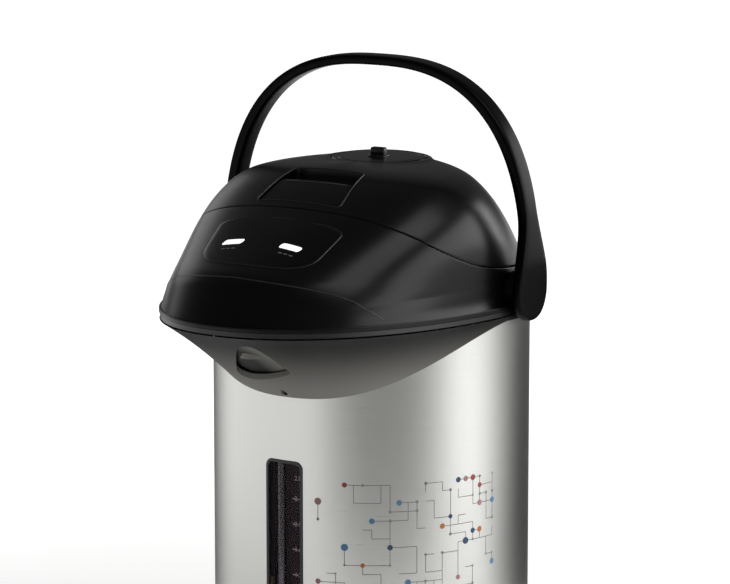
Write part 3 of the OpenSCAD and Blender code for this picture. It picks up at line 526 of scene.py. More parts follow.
def pillow(name: str, outline: Array, place: Place, top: float, foot: float, edge: float,
           finish: Finish) -> Piece:
    """Slab on a curved surface, with a rounded upper edge.

    Args:
        name: the piece's name.
        outline: plan outline, of shape (n, 2).
        place: gives the point over a plan point, at a height over the surface.
        top: height of its face over the surface.
        foot: height of its underside.
        edge: radius of the rounded edge.
        finish: the piece's finish.
    Returns:
        The slab.
    """
    middle = outline.mean(0)
    half = np.hypot(*(outline - middle).T).max()
    rows = [place(middle + (outline - middle)*k, top) for k in np.linspace(0.02, 1 - edge/half, 14)]
    inward = (middle - outline)/np.hypot(*(outline - middle).T)[:, None]
    for a in (25, 50, 70, 90):
        rows.append(place(outline + inward*edge*(1 - math.sin(math.radians(a))),
                          top - edge*(1 - math.cos(math.radians(a)))))
    rows.append(place(outline, foot))
    rows.append(place(middle + (outline - middle)*0.5, foot))
    rows.append(place(middle + (outline - middle)*0.02, foot))
    return piece_of(name, *loops(rows), finish)


def lathe(name: str, profile: Sequence[Pair], finish: Finish, edge: float = 0.0,
          y: float = 0.0, steps: int = 192) -> Piece:
    """Turns a closed profile of (radius, height) about an upright axis at y, in millimetres.

    Args:
        name: the piece's name.
        profile: corners of the section; a radius of 0 closes it on the axis.
        finish: the piece's finish.
        edge: radius that every corner off the axis is rounded to.
        y: place of the axis.
        steps: facets round the axis.
    Returns:
        The turned piece.
    """
    corners = [np.array(p, float) for p in profile]
    points: list[Array] = []
    for i, corner in enumerate(corners):
        back, ahead = corners[i - 1] - corner, corners[(i + 1) % len(corners)] - corner
        reach = min(edge, 0.45*np.hypot(*back), 0.45*np.hypot(*ahead))
        if reach <= 0 or corner[0] < 1e-6:
            points.append(corner)
            continue
        a, b = corner + back/np.hypot(*back)*reach, corner + ahead/np.hypot(*ahead)*reach
        points += [(1 - t)**2*a + 2*t*(1 - t)*corner + t*t*b for t in np.linspace(0, 1, 6)]
    turn = turns(steps)
    rows = [np.stack([p[0]*np.cos(turn), y + p[0]*np.sin(turn), np.full(steps, p[1])], 1)
            for p in points]
    open_ended = corners[0][0] < 1e-6 and corners[-1][0] < 1e-6
    return piece_of(name, *loops(rows, wrap=not open_ended), finish)


def brick(name: str, low: Sequence[float], high: Sequence[float], edge: float, finish: Finish,
          turn: Callable[[Array], Array] | None = None) -> Piece:
    """Block with rounded edges between two corners, optionally put through turn.

    Args:
        name: name of the piece.
        low: its least x, y and z.
        high: its greatest x, y and z.
        edge: radius of its edges.
        finish: its finish.
        turn: what moves its points.
    Returns:
        The block.
    """
    work = bmesh.new()
    bmesh.ops.create_cube(work, size=1)
    low_v, high_v = np.array(low, float), np.array(high, float)
    for v in work.verts:
        v.co = Vector((low_v + high_v)/2 + np.array(v.co)*(high_v - low_v))
    if edge:
        bmesh.ops.bevel(work, geom=list(work.edges), offset=edge, segments=3, profile=0.5,
                        affect="EDGES")
    points = np.array([v.co for v in work.verts])
    faces = [tuple(v.index for v in f.verts) for f in work.faces]
    work.free()
    return piece_of(name, turn(points) if turn else points, faces, finish, 50)


def tube(name: str, path: Array, r: float, finish: Finish, sides: int = 8) -> Piece:
    """Closed bead of radius r along a closed path, in millimetres.

    Args:
        name: name of the piece.
        path: points of the path.
        r: radius of the bead.
        finish: its finish.
        sides: how many faces go round it.
    Returns:
        The bead.
    """
    ahead = np.roll(path, -1, 0) - np.roll(path, 1, 0)
    ahead /= np.linalg.norm(ahead, axis=1)[:, None]
    side = np.cross(ahead, [0, 0, 1.0])
    side /= np.linalg.norm(side, axis=1)[:, None]
    over = np.cross(side, ahead)
    rows = [path + r*(math.cos(b)*side + math.sin(b)*over)
            for b in turns(sides)]
    return piece_of(name, *loops(rows, wrap=True), finish, 80)


# ---------------------------------------------------------------- the head's shape

@dataclass
class HeadForm:
    """Outer surface of the shoulder and the lid, in millimetres, as one distance field.

    foot_flare is how far the dome widens at its foot, and over what height. rear_mid is the Y and Z
    of a point on its rear, and crease that of the foot of its front slope. middle_curve holds the
    rise, height and span of the line where front and rear halves meet. seam_rear is the Y and Z of
    the seam's rear end. sight is how near and far the surface can lie from the eye, and heights how
    low and high it can lie.
    """

    rim_z: float = 262.6
    rim_tilt: float = 2.6
    half_w: float = 101.5
    nose: float = 184.0
    rear: float = 102.0
    power: float = 2.1
    step: float = 0.5
    lean: float = 17/27
    dome_half_w: float = 96.5
    dome_foot: float = 275.0
    dome_top: float = 351.8
    dome_power: float = 2.6
    foot_flare: Pair = (3.0, 12.4)
    rear_mid: Pair = (92.0, 287.0)
    rear_slope: float = 0.52
    rear_bulge: float = 0.0056
    rear_under: float = -0.4
    middle_back: float = 25.0
    middle_curve: Triple = (20.0, 332.0, 45.0)
    crease: Pair = (-167.0, 297.96)
    slope: float = 25.5
    roof_drop: float = 1.0
    crease_soft: float = 3.0
    roof_soft: float = 12.0
    fore_power: float = 1.84
    fore_blend: float = 50.0
    fore_start: float = 0.2
    pump_y: float = 9.0
    ring_r: float = 33.6
    ring_top: float = 348.8
    ring_soft: Pair = (1.2, 2.0)
    seam_rear: Pair = (95.0, 284.0)
    seam_run: float = 191.88
    seam_bow: float = 8.0
    seam_rise: float = 47.4
    seam_power: float = 4.2
    eye: Triple = (0.0, 0.0, 236.0)
    sight: Pair = (10.0, 420.0)
    heights: Pair = (262.0, 353.0)
    edge_depth: float = 0.9
    gap: float = 0.5
    wall: float = 2.4

    def rim_point(self, xy: Array, h: float) -> Array:
        """Points of the rim's frame at height h over its plane.

        Args:
            xy: places in the rim's plane.
            h: height over it.
        Returns:
            The points.
        """
        t = math.radians(self.rim_tilt)
        return np.stack([xy[:, 0], xy[:, 1]*math.cos(t) + h*math.sin(t),
                         self.rim_z - xy[:, 1]*math.sin(t) + h*math.cos(t)], 1)

    def rim_outline(self, angles: Array, inset: float, back: float = 0.0) -> Array:
        """Outline of the rim, drawn in by inset and with its front cut back.

        Args:
            angles: angles of its points, in radians.
            inset: how far it is drawn in.
            back: how far its front is cut back.
        Returns:
            Places in the rim's plane.
        """
        c, s = np.cos(angles), np.sin(angles)
        length = np.where(s > 0, self.rear - inset, self.nose - inset - back)
        return np.stack([(self.half_w - inset)*bulged(c, 2/self.power),
                         length*bulged(s, 2/self.power)], 1)

    def dome(self, p: Array) -> Array:
        """Field of the dome, with its straight front slope.

        Args:
            p: points.
        Returns:
            The field at each point, negative inside.
        """
        x, y, z = p[..., 0], p[..., 1], p[..., 2]
        share = np.clip((z - self.dome_foot)/(self.dome_top - self.dome_foot), 0, 1)
        half = self.dome_half_w*np.power(np.maximum(1 - share**self.dome_power, 0), 0.25)
        flare, below = self.foot_flare
        half = half + np.where(z < self.dome_foot, flare*((self.dome_foot - z)/below)**2, 0)
        over = z - self.rear_mid[1]
        rear = self.rear_mid[0] - self.rear_slope*over - (
            self.rear_bulge*over**2*np.where(over < 0, self.rear_under, 1))
        front = self.crease[0] + (z - self.crease[1])/math.tan(math.radians(self.slope))
        rise, level, span = self.middle_curve
        middle = np.minimum(0, rise*((z - level)/span)**2 - self.middle_back)
        share = np.clip((z - self.crease[1])/self.fore_blend + self.fore_start, 0, 1)
        fore = self.fore_power + (self.power - self.fore_power)*smooth(share)
        half, front, rear = (np.maximum(v, 1) for v in (half, middle - front, rear - middle))
        return self._outline_field(x, y - middle, half, front, rear, fore)

    def bumper(self, p: Array) -> Array:
        """Field of the nose's bumper, which leans back as it rises.

        Args:
            p: points.
        Returns:
            The field at each point, negative inside.
        """
        t = math.radians(self.rim_tilt)
        up = p[..., 2] - self.rim_z
        y = p[..., 1]*math.cos(t) - up*math.sin(t)
        h = p[..., 1]*math.sin(t) + up*math.cos(t)
        return self._outline_field(p[..., 0], y, self.half_w - self.step,
                                   self.nose - self.step - h*self.lean, self.rear - self.step)

    def _outline_field(self, x: Array, y: Array, half: float | Array, front: float | Array,
                       rear: float | Array, fore: Array | None = None) -> Array:
        """Distance in plan to a superellipse with its own front, rear and front power.

        Args:
            x: distances across.
            y: distances along, to the rear.
            half: half width.
            front: reach of its front half.
            rear: reach of its rear half.
            fore: power of its front half, or None for the same as its rear half.
        Returns:
            The distance at each point, negative inside.
        """
        length = np.where(y > 0, rear, front)
        power = self.power if fore is None else np.where(y > 0, self.power, fore)
        size = ((np.abs(x)/half)**power + (np.abs(y)/length)**power)**(1/power)
        return np.hypot(x, y)*(1 - 1/np.maximum(size, 1e-3))

    @staticmethod
    def _metric(form: Callable[[Array], Array], p: Array) -> Array:
        """A field divided by its steepness, so that it reads as a distance.

        Args:
            form: the field.
            p: points.
        Returns:
            The distance at each point, in millimetres.
        """
        value, h = form(p), 0.05
        steep = sum(((form(p + h*e) - value)/h)**2 for e in np.eye(3))
        return value/np.sqrt(np.maximum(steep, 1e-4))

    @staticmethod
    def _soft_max(a: Array, b: Array, k: float) -> Array:
        """Greater of two fields, rounded where they meet."""
        h = np.clip(0.5 + 0.5*(a - b)/k, 0, 1)
        return b + (a - b)*h + k*h*(1 - h)

    def field(self, p: Array, ring: bool = False) -> Array:
        """Field of the whole head: negative inside it.

        Args:
            p: points.
            ring: whether the pump ring's collar is counted in.
        Returns:
            The field at each point.
        """
        value = self._soft_max(self._metric(self.dome, p), self._metric(self.bumper, p),
                               self.crease_soft)
        value = self._soft_max(value, p[..., 2] - (self.dome_top - self.roof_drop), self.roof_soft)
        if ring:
            collar = self._soft_max(np.hypot(p[..., 0], p[..., 1] - self.pump_y) - self.ring_r,
                                    p[..., 2] - self.ring_top, self.ring_soft[0])
            value = -self._soft_max(-value, -collar, self.ring_soft[1])
        return value

    def normal(self, p: Array, ring: bool = False) -> Array:
        """Outward direction of the surface.

        Args:
            p: points on it.
            ring: whether the pump ring's collar is counted in.
        Returns:
            Unit directions.
        """
        h = 0.2
        n = np.stack([self.field(p + h*e, ring) - self.field(p - h*e, ring) for e in np.eye(3)], -1)
        return n/np.linalg.norm(n, axis=-1, keepdims=True)

    def cast(self, ways: Array, ring: bool = False) -> Array:
        """Surface points seen from the eye along unit directions.

        Args:
            ways: the directions.
            ring: whether the pump ring's collar is counted in.
        Returns:
            The points.
        """
        eye = np.array(self.eye)
        low, _ = bisect(ways.shape[:-1], *self.sight,
                        lambda reach: self.field(eye + ways*reach[..., None], ring) > 0, 27)
        return eye + ways*low[..., None]

    def top(self, xy: Array) -> Array:
        """Surface points over plan points.

        Args:
            xy: the plan points.
        Returns:
            The points.
        """
        low, _ = bisect(len(xy), *self.heights,
                        lambda z: self.field(np.column_stack([xy, z])) > 0, 24)
        return np.column_stack([xy, low])

    def over(self, xy: Array, height: float) -> Array:
        """Points at a height over the surface, outwards from the points over plan points."""
        p = self.top(xy)
        return p + self.normal(p)*height

    def seam_z(self, y: Array) -> Array:
        """Height of the seam between lid and shoulder.

        Args:
            y: distances to the rear.
        Returns:
            The height at each of them.
        """
        share = np.maximum(0, (self.seam_rear[0] - y)/self.seam_run)
        return (self.seam_rear[1] + self.seam_bow*share*(1 - share)
                + self.seam_rise*share**self.seam_power)

    @staticmethod
    def ways(azimuth: Array, elevation: Array) -> Array:
        """Unit directions."""
        return np.stack([np.cos(elevation)*np.cos(azimuth), np.cos(elevation)*np.sin(azimuth),
                         np.sin(elevation)], -1)

    def seam_elevation(self, azimuth: Array, lift: float) -> Array:
        """Elevation at which each azimuth meets the seam, raised by lift.

        Args:
            azimuth: the azimuths, in radians.
            lift: how far the seam is raised.
        Returns:
            The elevations, in radians.
        """
        def above(elevation: Array) -> Array:
            """Whether each direction meets the head above the raised seam."""
            p = self.cast(self.ways(azimuth, elevation))
            return p[:, 2] > self.seam_z(p[:, 1]) + lift

        low, high = bisect(len(azimuth), 0.12, 1.45, above)
        return (low + high)/2

    def crease_path(self, azimuth: Array, least: Array) -> Array:
        """Closed path along the nose's edge and back under the skin.

        Args:
            azimuth: directions from the eye.
            least: lowest elevation looked at. Directions where the edge isn't over it are left out.
        Returns:
            Points along the edge between bumper and dome, then under the skin in reverse.
        """
        def on_dome(elevation: Array) -> Array:
            """Whether each direction meets the dome rather than the bumper."""
            p = self.cast(self.ways(azimuth, elevation))
            return self._metric(self.dome, p) > self._metric(self.bumper, p)

        low, _ = bisect(len(azimuth), least, 0.9, on_dome)
        seen = low > least + 0.004
        edge = self.cast(self.ways(azimuth[seen], low[seen]))
        return np.concatenate([edge, (edge - self.edge_depth*self.normal(edge))[::-1]])

    def angles_of(self, p: Array) -> tuple[Array, Array]:
        """Azimuth and elevation of points, seen from the eye."""
        d = p - np.array(self.eye)
        return np.arctan2(d[:, 1], d[:, 0]), np.arctan2(d[:, 2], np.hypot(d[:, 0], d[:, 1]))

    def even(self, raw: Array, count: int, start: float, end: float) -> Array:
        """Takes count rows at even distances along each profile.

        Args:
            raw: dense points of shape (rows, columns, 3).
            count: rows wanted.
            start: length left out at the start.
            end: length left out at the end.
        Returns:
            Points of shape (count, columns, 3).
        """
        run = np.concatenate([np.zeros((1, raw.shape[1])),
                              np.linalg.norm(np.diff(raw, axis=0), axis=2).cumsum(0)])
        out = np.empty((count, raw.shape[1], 3))
        for i in range(raw.shape[1]):
            at = np.linspace(start, run[-1, i] - end, count)
            for k in range(3):
                out[:, i, k] = np.interp(at, run[:, i], raw[:, i, k])
        return out

    def skin(self, azimuth: Array, start: Array, end: Array, samples: int,
             rows: int, ends: Pair, ring: bool = False) -> tuple[Array, Array]:
        """Rows of the surface between two elevations, and its direction at each point.

        Args:
            azimuth: direction of each column from the eye.
            start: elevation of the first row.
            end: elevation of the last row.
            samples: points cast on each column.
            rows: rows wanted.
            ends: lengths left out at the start and at the end.
            ring: the ring round the pump is part of the surface.
        Returns:
            Points and unit normals of shape (rows, columns, 3).
        """
        share = np.linspace(0, 1, samples)[:, None]
        raw = self.cast(self.ways(azimuth + 0*share, start + (end - start)*share), ring)
        points = self.even(raw, rows, *ends)
        return points, self.normal(points, ring)

    @staticmethod
    def edge_rows(last: Array, before: Array, normal: Array, r: float) -> list:
        """Rows that turn a profile's end inwards round a radius.

        Args:
            last: last row of the profile.
            before: the row before it.
            normal: outward directions at the last row.
            r: the radius.
        Returns:
            The rows.
        """
        ahead = last - before
        ahead /= np.linalg.norm(ahead, axis=1)[:, None]
        return [last + r*(math.sin(a)*ahead - (1 - math.cos(a))*normal)
                for a in np.radians([30, 60, 90])]


# ---------------------------------------------------------------- sub-assemblies

def hinge_notch() -> Piece:
    """Cutter of the gap in which the lid's hinge sits."""
    return brick("notch", *HINGE_NOTCH, 0, BLACK_GLOSS)


@dataclass
class Shoulder:
    """Black moulding round the top, with the nose and the deck under the lid.

    rim_section pairs an inset with a height over the rim's plane.
    """

    form: HeadForm
    columns: int = 320
    rows: int = 110
    samples: int = 280
    edge: float = 0.6
    well_r: float = 78.5
    deck_drop: float = 0.5
    rim_section: Section = (
        (2.6, 0.1), (0.5, 0.0), (0.15, 0.15), (0.0, 0.5), (0.0, 2.4), (0.12, 2.85))
    rim_top: float = 3.0
    crease_r: float = 0.34

    def build(self) -> None:
        """Makes the shoulder's closed skin, cuts the hinge's notch and lays a bead along the nose's
        edge, coloured lighter as a painted highlight.
        """
        form = self.form
        turn = turns(self.columns)
        rows = [form.rim_point(form.rim_outline(turn, inset), h) for inset, h in self.rim_section]
        foot = form.rim_outline(turn, form.step, self.rim_top*form.lean)
        azimuth, low = form.angles_of(form.rim_point(foot, self.rim_top))
        high = form.seam_elevation(azimuth, -form.gap/2)
        skin, normals = form.skin(azimuth, low, high, self.samples, self.rows, (0, self.edge))
        rows += list(skin) + form.edge_rows(skin[-1], skin[-2], normals[-1], self.edge)
        brim = rows[-1][:, :2]
        around = np.arctan2(brim[:, 1], brim[:, 0])
        well = self.well_r*np.column_stack([np.cos(around), np.sin(around)])
        deck = []
        for k in np.linspace(0.08, 1, 9):
            xy = brim*(1 - k) + well*k
            deck.append(raised(xy, form.seam_z(xy[:, 1]) - form.gap/2 - self.deck_drop))
        rows += deck + [row - np.array([0, 0, form.wall]) for row in (deck[-1], deck[4])]
        rows += [skin[i] - normals[i]*form.wall for i in range(self.rows - 6, -1, -8)]
        shoulder = piece_of("shoulder_skin", *loops(rows, wrap=True), BLACK_GLOSS)
        cut(shoulder, hinge_notch())
        crease = form.crease_path(azimuth, low + 0.004)
        # the bead along the nose's edge is coloured lighter grey as a painted highlight
        crease = tube("crease", crease, self.crease_r, EDGE_HIGHLIGHT)
        shoulder = join("shoulder_skin", [shoulder, crease])
        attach(shoulder, "pot")
        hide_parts("shoulder_cover")
        log.info("shoulder_skin: %d faces", len(shoulder.data.polygons))


@dataclass
class Panel:
    """Lamp panel on the nose, with two lamps and generic marks under them."""

    form: HeadForm
    y: float = -129.5
    half_w: float = 43.5
    half_l: float = 22.5
    taper: float = 0.07
    powers: Pair = (2.3, 14.0)
    proud: float = 0.3
    sunk: float = -1.0
    rim_r: float = 0.32
    lamp: Triple = (13.6, 4.32, 1.4)
    lamp_x: float = 20.0
    lamp_y: float = -131.0
    bar: Triple = (2.6, 0.7, 0.3)
    bar_pitch: float = 3.6
    bar_drop: float = 6.2

    def build(self) -> None:
        """Makes the panel, its edge bead coloured lighter as a painted highlight, the lamps and the
        marks.
        """
        front, rear = (oval(self.half_w, self.half_l, power) for power in self.powers)
        outline = np.where(rear[:, 1:] > 0, rear, front)
        outline[:, 0] *= 1 + self.taper*(outline[:, 1]/self.half_l - 1)
        outline[:, 1] += self.y
        over = self.form.over
        panel = pillow("panel_plate", outline, over, self.proud, self.sunk, 0.5, PANEL_BLACK)
        # the bead round the panel is coloured lighter grey as a painted highlight
        rim = tube("panel_rim", over(outline, 0.1), self.rim_r, EDGE_HIGHLIGHT)
        panel = join("panel_plate", [panel, rim])
        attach(panel, "pot")
        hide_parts("control_panel")
        width, length, lean = self.lamp
        lamps, marks = [], []
        for side in (-1, 1):
            middle = np.array([side*self.lamp_x, self.lamp_y])
            shape = rounded_outline(width, length, 1.5, lean) + middle
            lamps.append(pillow("lamp", shape, over, self.proud + 0.25, self.sunk, 0.3, LAMP_OPAL))
            for k in (-1, 0, 1):
                bar = rounded_outline(*self.bar) + middle + [self.bar_pitch*k, -self.bar_drop]
                marks.append(pillow("mark", bar, over, self.proud + 0.06, 0.0, 0.05, GREY_PRINT))
        lit = join("lamp_windows", lamps)
        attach(lit, "pot")
        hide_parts("lamp_lenses")
        printed = join("lamp_marks", marks)
        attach(printed, "pot")
        log.info("panel_plate, lamp_windows, lamp_marks")


@dataclass
class Lid:
    """Hinged lid with its latch recess and the ring round the pump."""

    form: HeadForm
    columns: int = 320
    rows: int = 100
    samples: int = 260
    edge: float = 0.6
    hole_r: float = 30.3
    hole_foot: float = 342.8
    brim_heights: Pair = (330.0, 354.0)
    latch_y: float = -89.88
    latch_z: float = 334.74
    recess: Pair = (56.0, 44.0)
    recess_floor: float = -13.0
    lining_t: float = 1.4
    bead_r: float = 0.38

    def latch_frame(self, points: Array) -> Array:
        """Turns points across, up the slope and outwards into place.

        Args:
            points: the points.
        Returns:
            The points in place.
        """
        a = math.radians(self.form.slope)
        y = self.latch_y + points[:, 1]*math.cos(a) - points[:, 2]*math.sin(a)
        z = self.latch_z + points[:, 1]*math.sin(a) + points[:, 2]*math.cos(a)
        return np.column_stack([points[:, 0], y, z])

    def recess_plan(self, grow: float = 0.0) -> Array:
        """Plan outline of the latch recess.

        Args:
            grow: how much wider it is drawn.
        Returns:
            Its points, in turn.
        """
        run = self.recess[1]*math.cos(math.radians(self.form.slope))
        return self.tapered(rounded_outline(self.recess[0] + 2*grow, run + 2*grow, 3 + grow)
                            + np.array([0, self.latch_y + run/2]))

    def tapered(self, xy: Array) -> Array:
        """Plan points of the latch, drawn in towards its rear."""
        share = (xy[:, 1] - self.latch_y)/self.recess[1]
        return np.column_stack([xy[:, 0]*(1.05 - 0.2*share), xy[:, 1]])

    def skin(self) -> Piece:
        """Makes the closed shell, from the pump's hole down to the seam."""
        form = self.form
        turn = turns(self.columns)
        out = np.column_stack([np.cos(turn), np.sin(turn)])
        hole = self.hole_r*out + np.array([0, form.pump_y])
        low, _ = bisect(self.columns, *self.brim_heights,
                        lambda z: form.field(raised(hole, z), True) > 0)
        azimuth, steep = form.angles_of(raised(hole, low))
        seam = form.seam_elevation(azimuth, form.gap/2)
        skin, normals = form.skin(np.unwrap(azimuth), steep, seam, self.samples, self.rows,
                                  (self.edge, self.edge), True)
        start = form.edge_rows(skin[0], skin[1], normals[0], self.edge)[::-1]
        end = form.edge_rows(skin[-1], skin[-2], normals[-1], self.edge)
        back = hole + out*form.wall
        rows = [raised(back, self.hole_foot), raised(start[0][:, :2], self.hole_foot)]
        rows += start + list(skin) + end
        rows += [skin[i] - normals[i]*form.wall for i in range(self.rows - 1, 8, -9)]
        rows.append(raised(back, skin[0][:, 2] - form.wall))
        return piece_of("lid_skin", *loops(rows, wrap=True), BLACK_GLOSS)

    def build(self) -> None:
        """Makes the lid, cuts its recesses, lines the latch's and beads its edge in a lighter
        colour as a painted highlight.
        """
        form = self.form
        lid = self.skin()
        recess = prism("recess_cut", self.recess_plan(), CUTTER_HEIGHTS, BLACK_GLOSS)
        cut(lid, recess, hinge_notch())
        # the recess's lining: a cup whose brim follows the lid's surface
        inside, outside = self.recess_plan(0.02), self.recess_plan(self.lining_t)
        floor_z = self.recess_floor + self.latch_z + (
            (inside[:, 1] - self.latch_y)*math.tan(math.radians(form.slope)))
        floor_in, floor_out = raised(inside, floor_z), raised(outside, floor_z - self.lining_t)
        middle_in, middle_out = floor_in.mean(0), floor_out.mean(0)
        cup = [middle_out + (floor_out - middle_out)*0.02, floor_out, form.over(outside, -0.6),
               form.over(inside, -0.25), floor_in + np.array([0, 0, 1.5]),
               floor_in + (middle_in - floor_in)*0.04, middle_in + (floor_in - middle_in)*0.02]
        lining = piece_of("recess_lining", *loops(cup), BLACK_GLOSS, 50)
        brim = form.over(self.recess_plan(0.25), -0.05)
        # the bead round the recess is coloured lighter grey as a painted highlight
        bead = tube("recess_edge", brim, self.bead_r, EDGE_HIGHLIGHT)
        lid = join("lid_skin", [lid, lining, bead])
        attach(lid, "lid")
        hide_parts("lid_shell")
        log.info("lid_skin: %d faces", len(lid.data.polygons))


@dataclass
class Latch:
    """Lid lever with its barrels and hook.

    pin is the Y and Z of its axis, hook the half width, depth and height of its hook. grip holds
    how far the ridge, coloured lighter as a painted highlight of the rear edge, lies before that
    edge, its width and its height, and lugs the middle and half width of each barrel.
    """

    form: HeadForm
    lid: Lid
    half_w: float = 27.4
    length: float = 26.0
    drop: float = -0.9
    thick: float = 3.0
    pin: Pair = (-84.03, 331.77)
    hook: Triple = (7.5, 3.0, 17.0)
    foot_gap: float = 1.4
    corner_r: float = 2.2
    grip_in: float = 4.0
    grip: Triple = (0.9, 1.1, 0.35)
    lugs: Section = ((-25.5, 2.0), (0.0, 8.0), (25.5, 2.0))

    def build(self) -> None:
        """Makes the lever's curved plate, its lugs, its hook and a ridge before its rear edge,
        coloured lighter as a painted highlight.
        """
        run = (self.length - 1.5)*math.cos(math.radians(self.form.slope))
        y = self.lid.latch_y + self.foot_gap + run/2
        shape = rounded_outline(2*self.half_w, run, self.corner_r) + np.array([0, y])
        plate = pillow("lever_plate", self.lid.tapered(shape), self.form.over, self.drop,
                       self.drop - self.thick, 0.7, BLACK_GLOSS)
        # the ridge near the rear edge is coloured lighter grey as a painted highlight
        behind, width, height = self.grip
        x = np.linspace(-self.half_w + self.grip_in, self.half_w - self.grip_in, 40)
        back = self.lid.tapered(np.column_stack([x, np.full(40, y + run/2 - behind)]))
        ridge = np.concatenate([self.form.over(back, self.drop + 0.02),
                                self.form.over(back - [0, width], self.drop + 0.02)[::-1]])
        rows = [ridge - np.array([0, 0, 0.5]), ridge, ridge + np.array([0, -0.05, height])]
        grip = piece_of("lever_highlight_ridge", *loops(rows), EDGE_HIGHLIGHT)
        parts = [plate, grip]
        for mid, half in self.lugs:
            parts.append(brick("lug", (mid - half, 1.9, -8.0), (mid + half, 6.1, -4.0), 1.2,
                               BLACK_GLOSS, self.lid.latch_frame))
        width, depth, height = self.hook
        front, top = self.pin[0] - depth/2, self.pin[1]
        parts.append(brick("hook", (-width, front, top - height), (width, front + depth, top), 0.5,
                           BLACK_GLOSS))
        lever = join("lever", parts)
        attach(lever, "latch")
        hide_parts("latch_lever")
        log.info("lever")


@dataclass
class Pump:
    """Pump plate and its lock knob. Each section gives radius and depth under the plate's top."""

    y: float = 9.0
    top: float = 349.8
    plate_section: Section = (
        (2.1, 3.0), (2.1, 1.5), (7.3, 1.5), (7.3, 0.15), (9.0, 0.0), (25.5, 0.0), (25.8, 0.45),
        (26.2, 0.45), (26.5, 0.05), (28.9, 0.1), (29.7, 0.9), (29.7, 16.0), (27.9, 16.0),
        (27.9, 3.0))
    knob_section: Section = (
        (0.0, 5.5), (1.9, 5.5), (1.9, 1.2), (7.0, 1.2), (7.0, -0.8), (0.0, -0.8))
    bar: Triple = (10.0, 5.0, 5.5)

    def build(self) -> None:
        """Makes the plate, with a turned groove, and the knob's disc, bar and stem."""
        def below_top(section: Section) -> list[Pair]:
            """Section in radius and height, from one in radius and depth."""
            return [(r, self.top - drop) for r, drop in section]

        plate = lathe("press_plate", below_top(self.plate_section), BLACK_GLOSS, 0.3, self.y)
        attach(plate, "pump")
        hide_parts("pump_plate")
        disc = lathe("knob_disc", below_top(self.knob_section), BEZEL_BLACK, 0.4, self.y, 96)
        w, d, h = self.bar
        bar = brick("knob_bar", (-w/2, self.y - d/2, self.top), (w/2, self.y + d/2, self.top + h),
                    1.1, BEZEL_BLACK)
        knob = join("lock_tab", [disc, bar])
        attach(knob, "knob")
        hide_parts("lock_knob")
        log.info("press_plate, lock_tab")


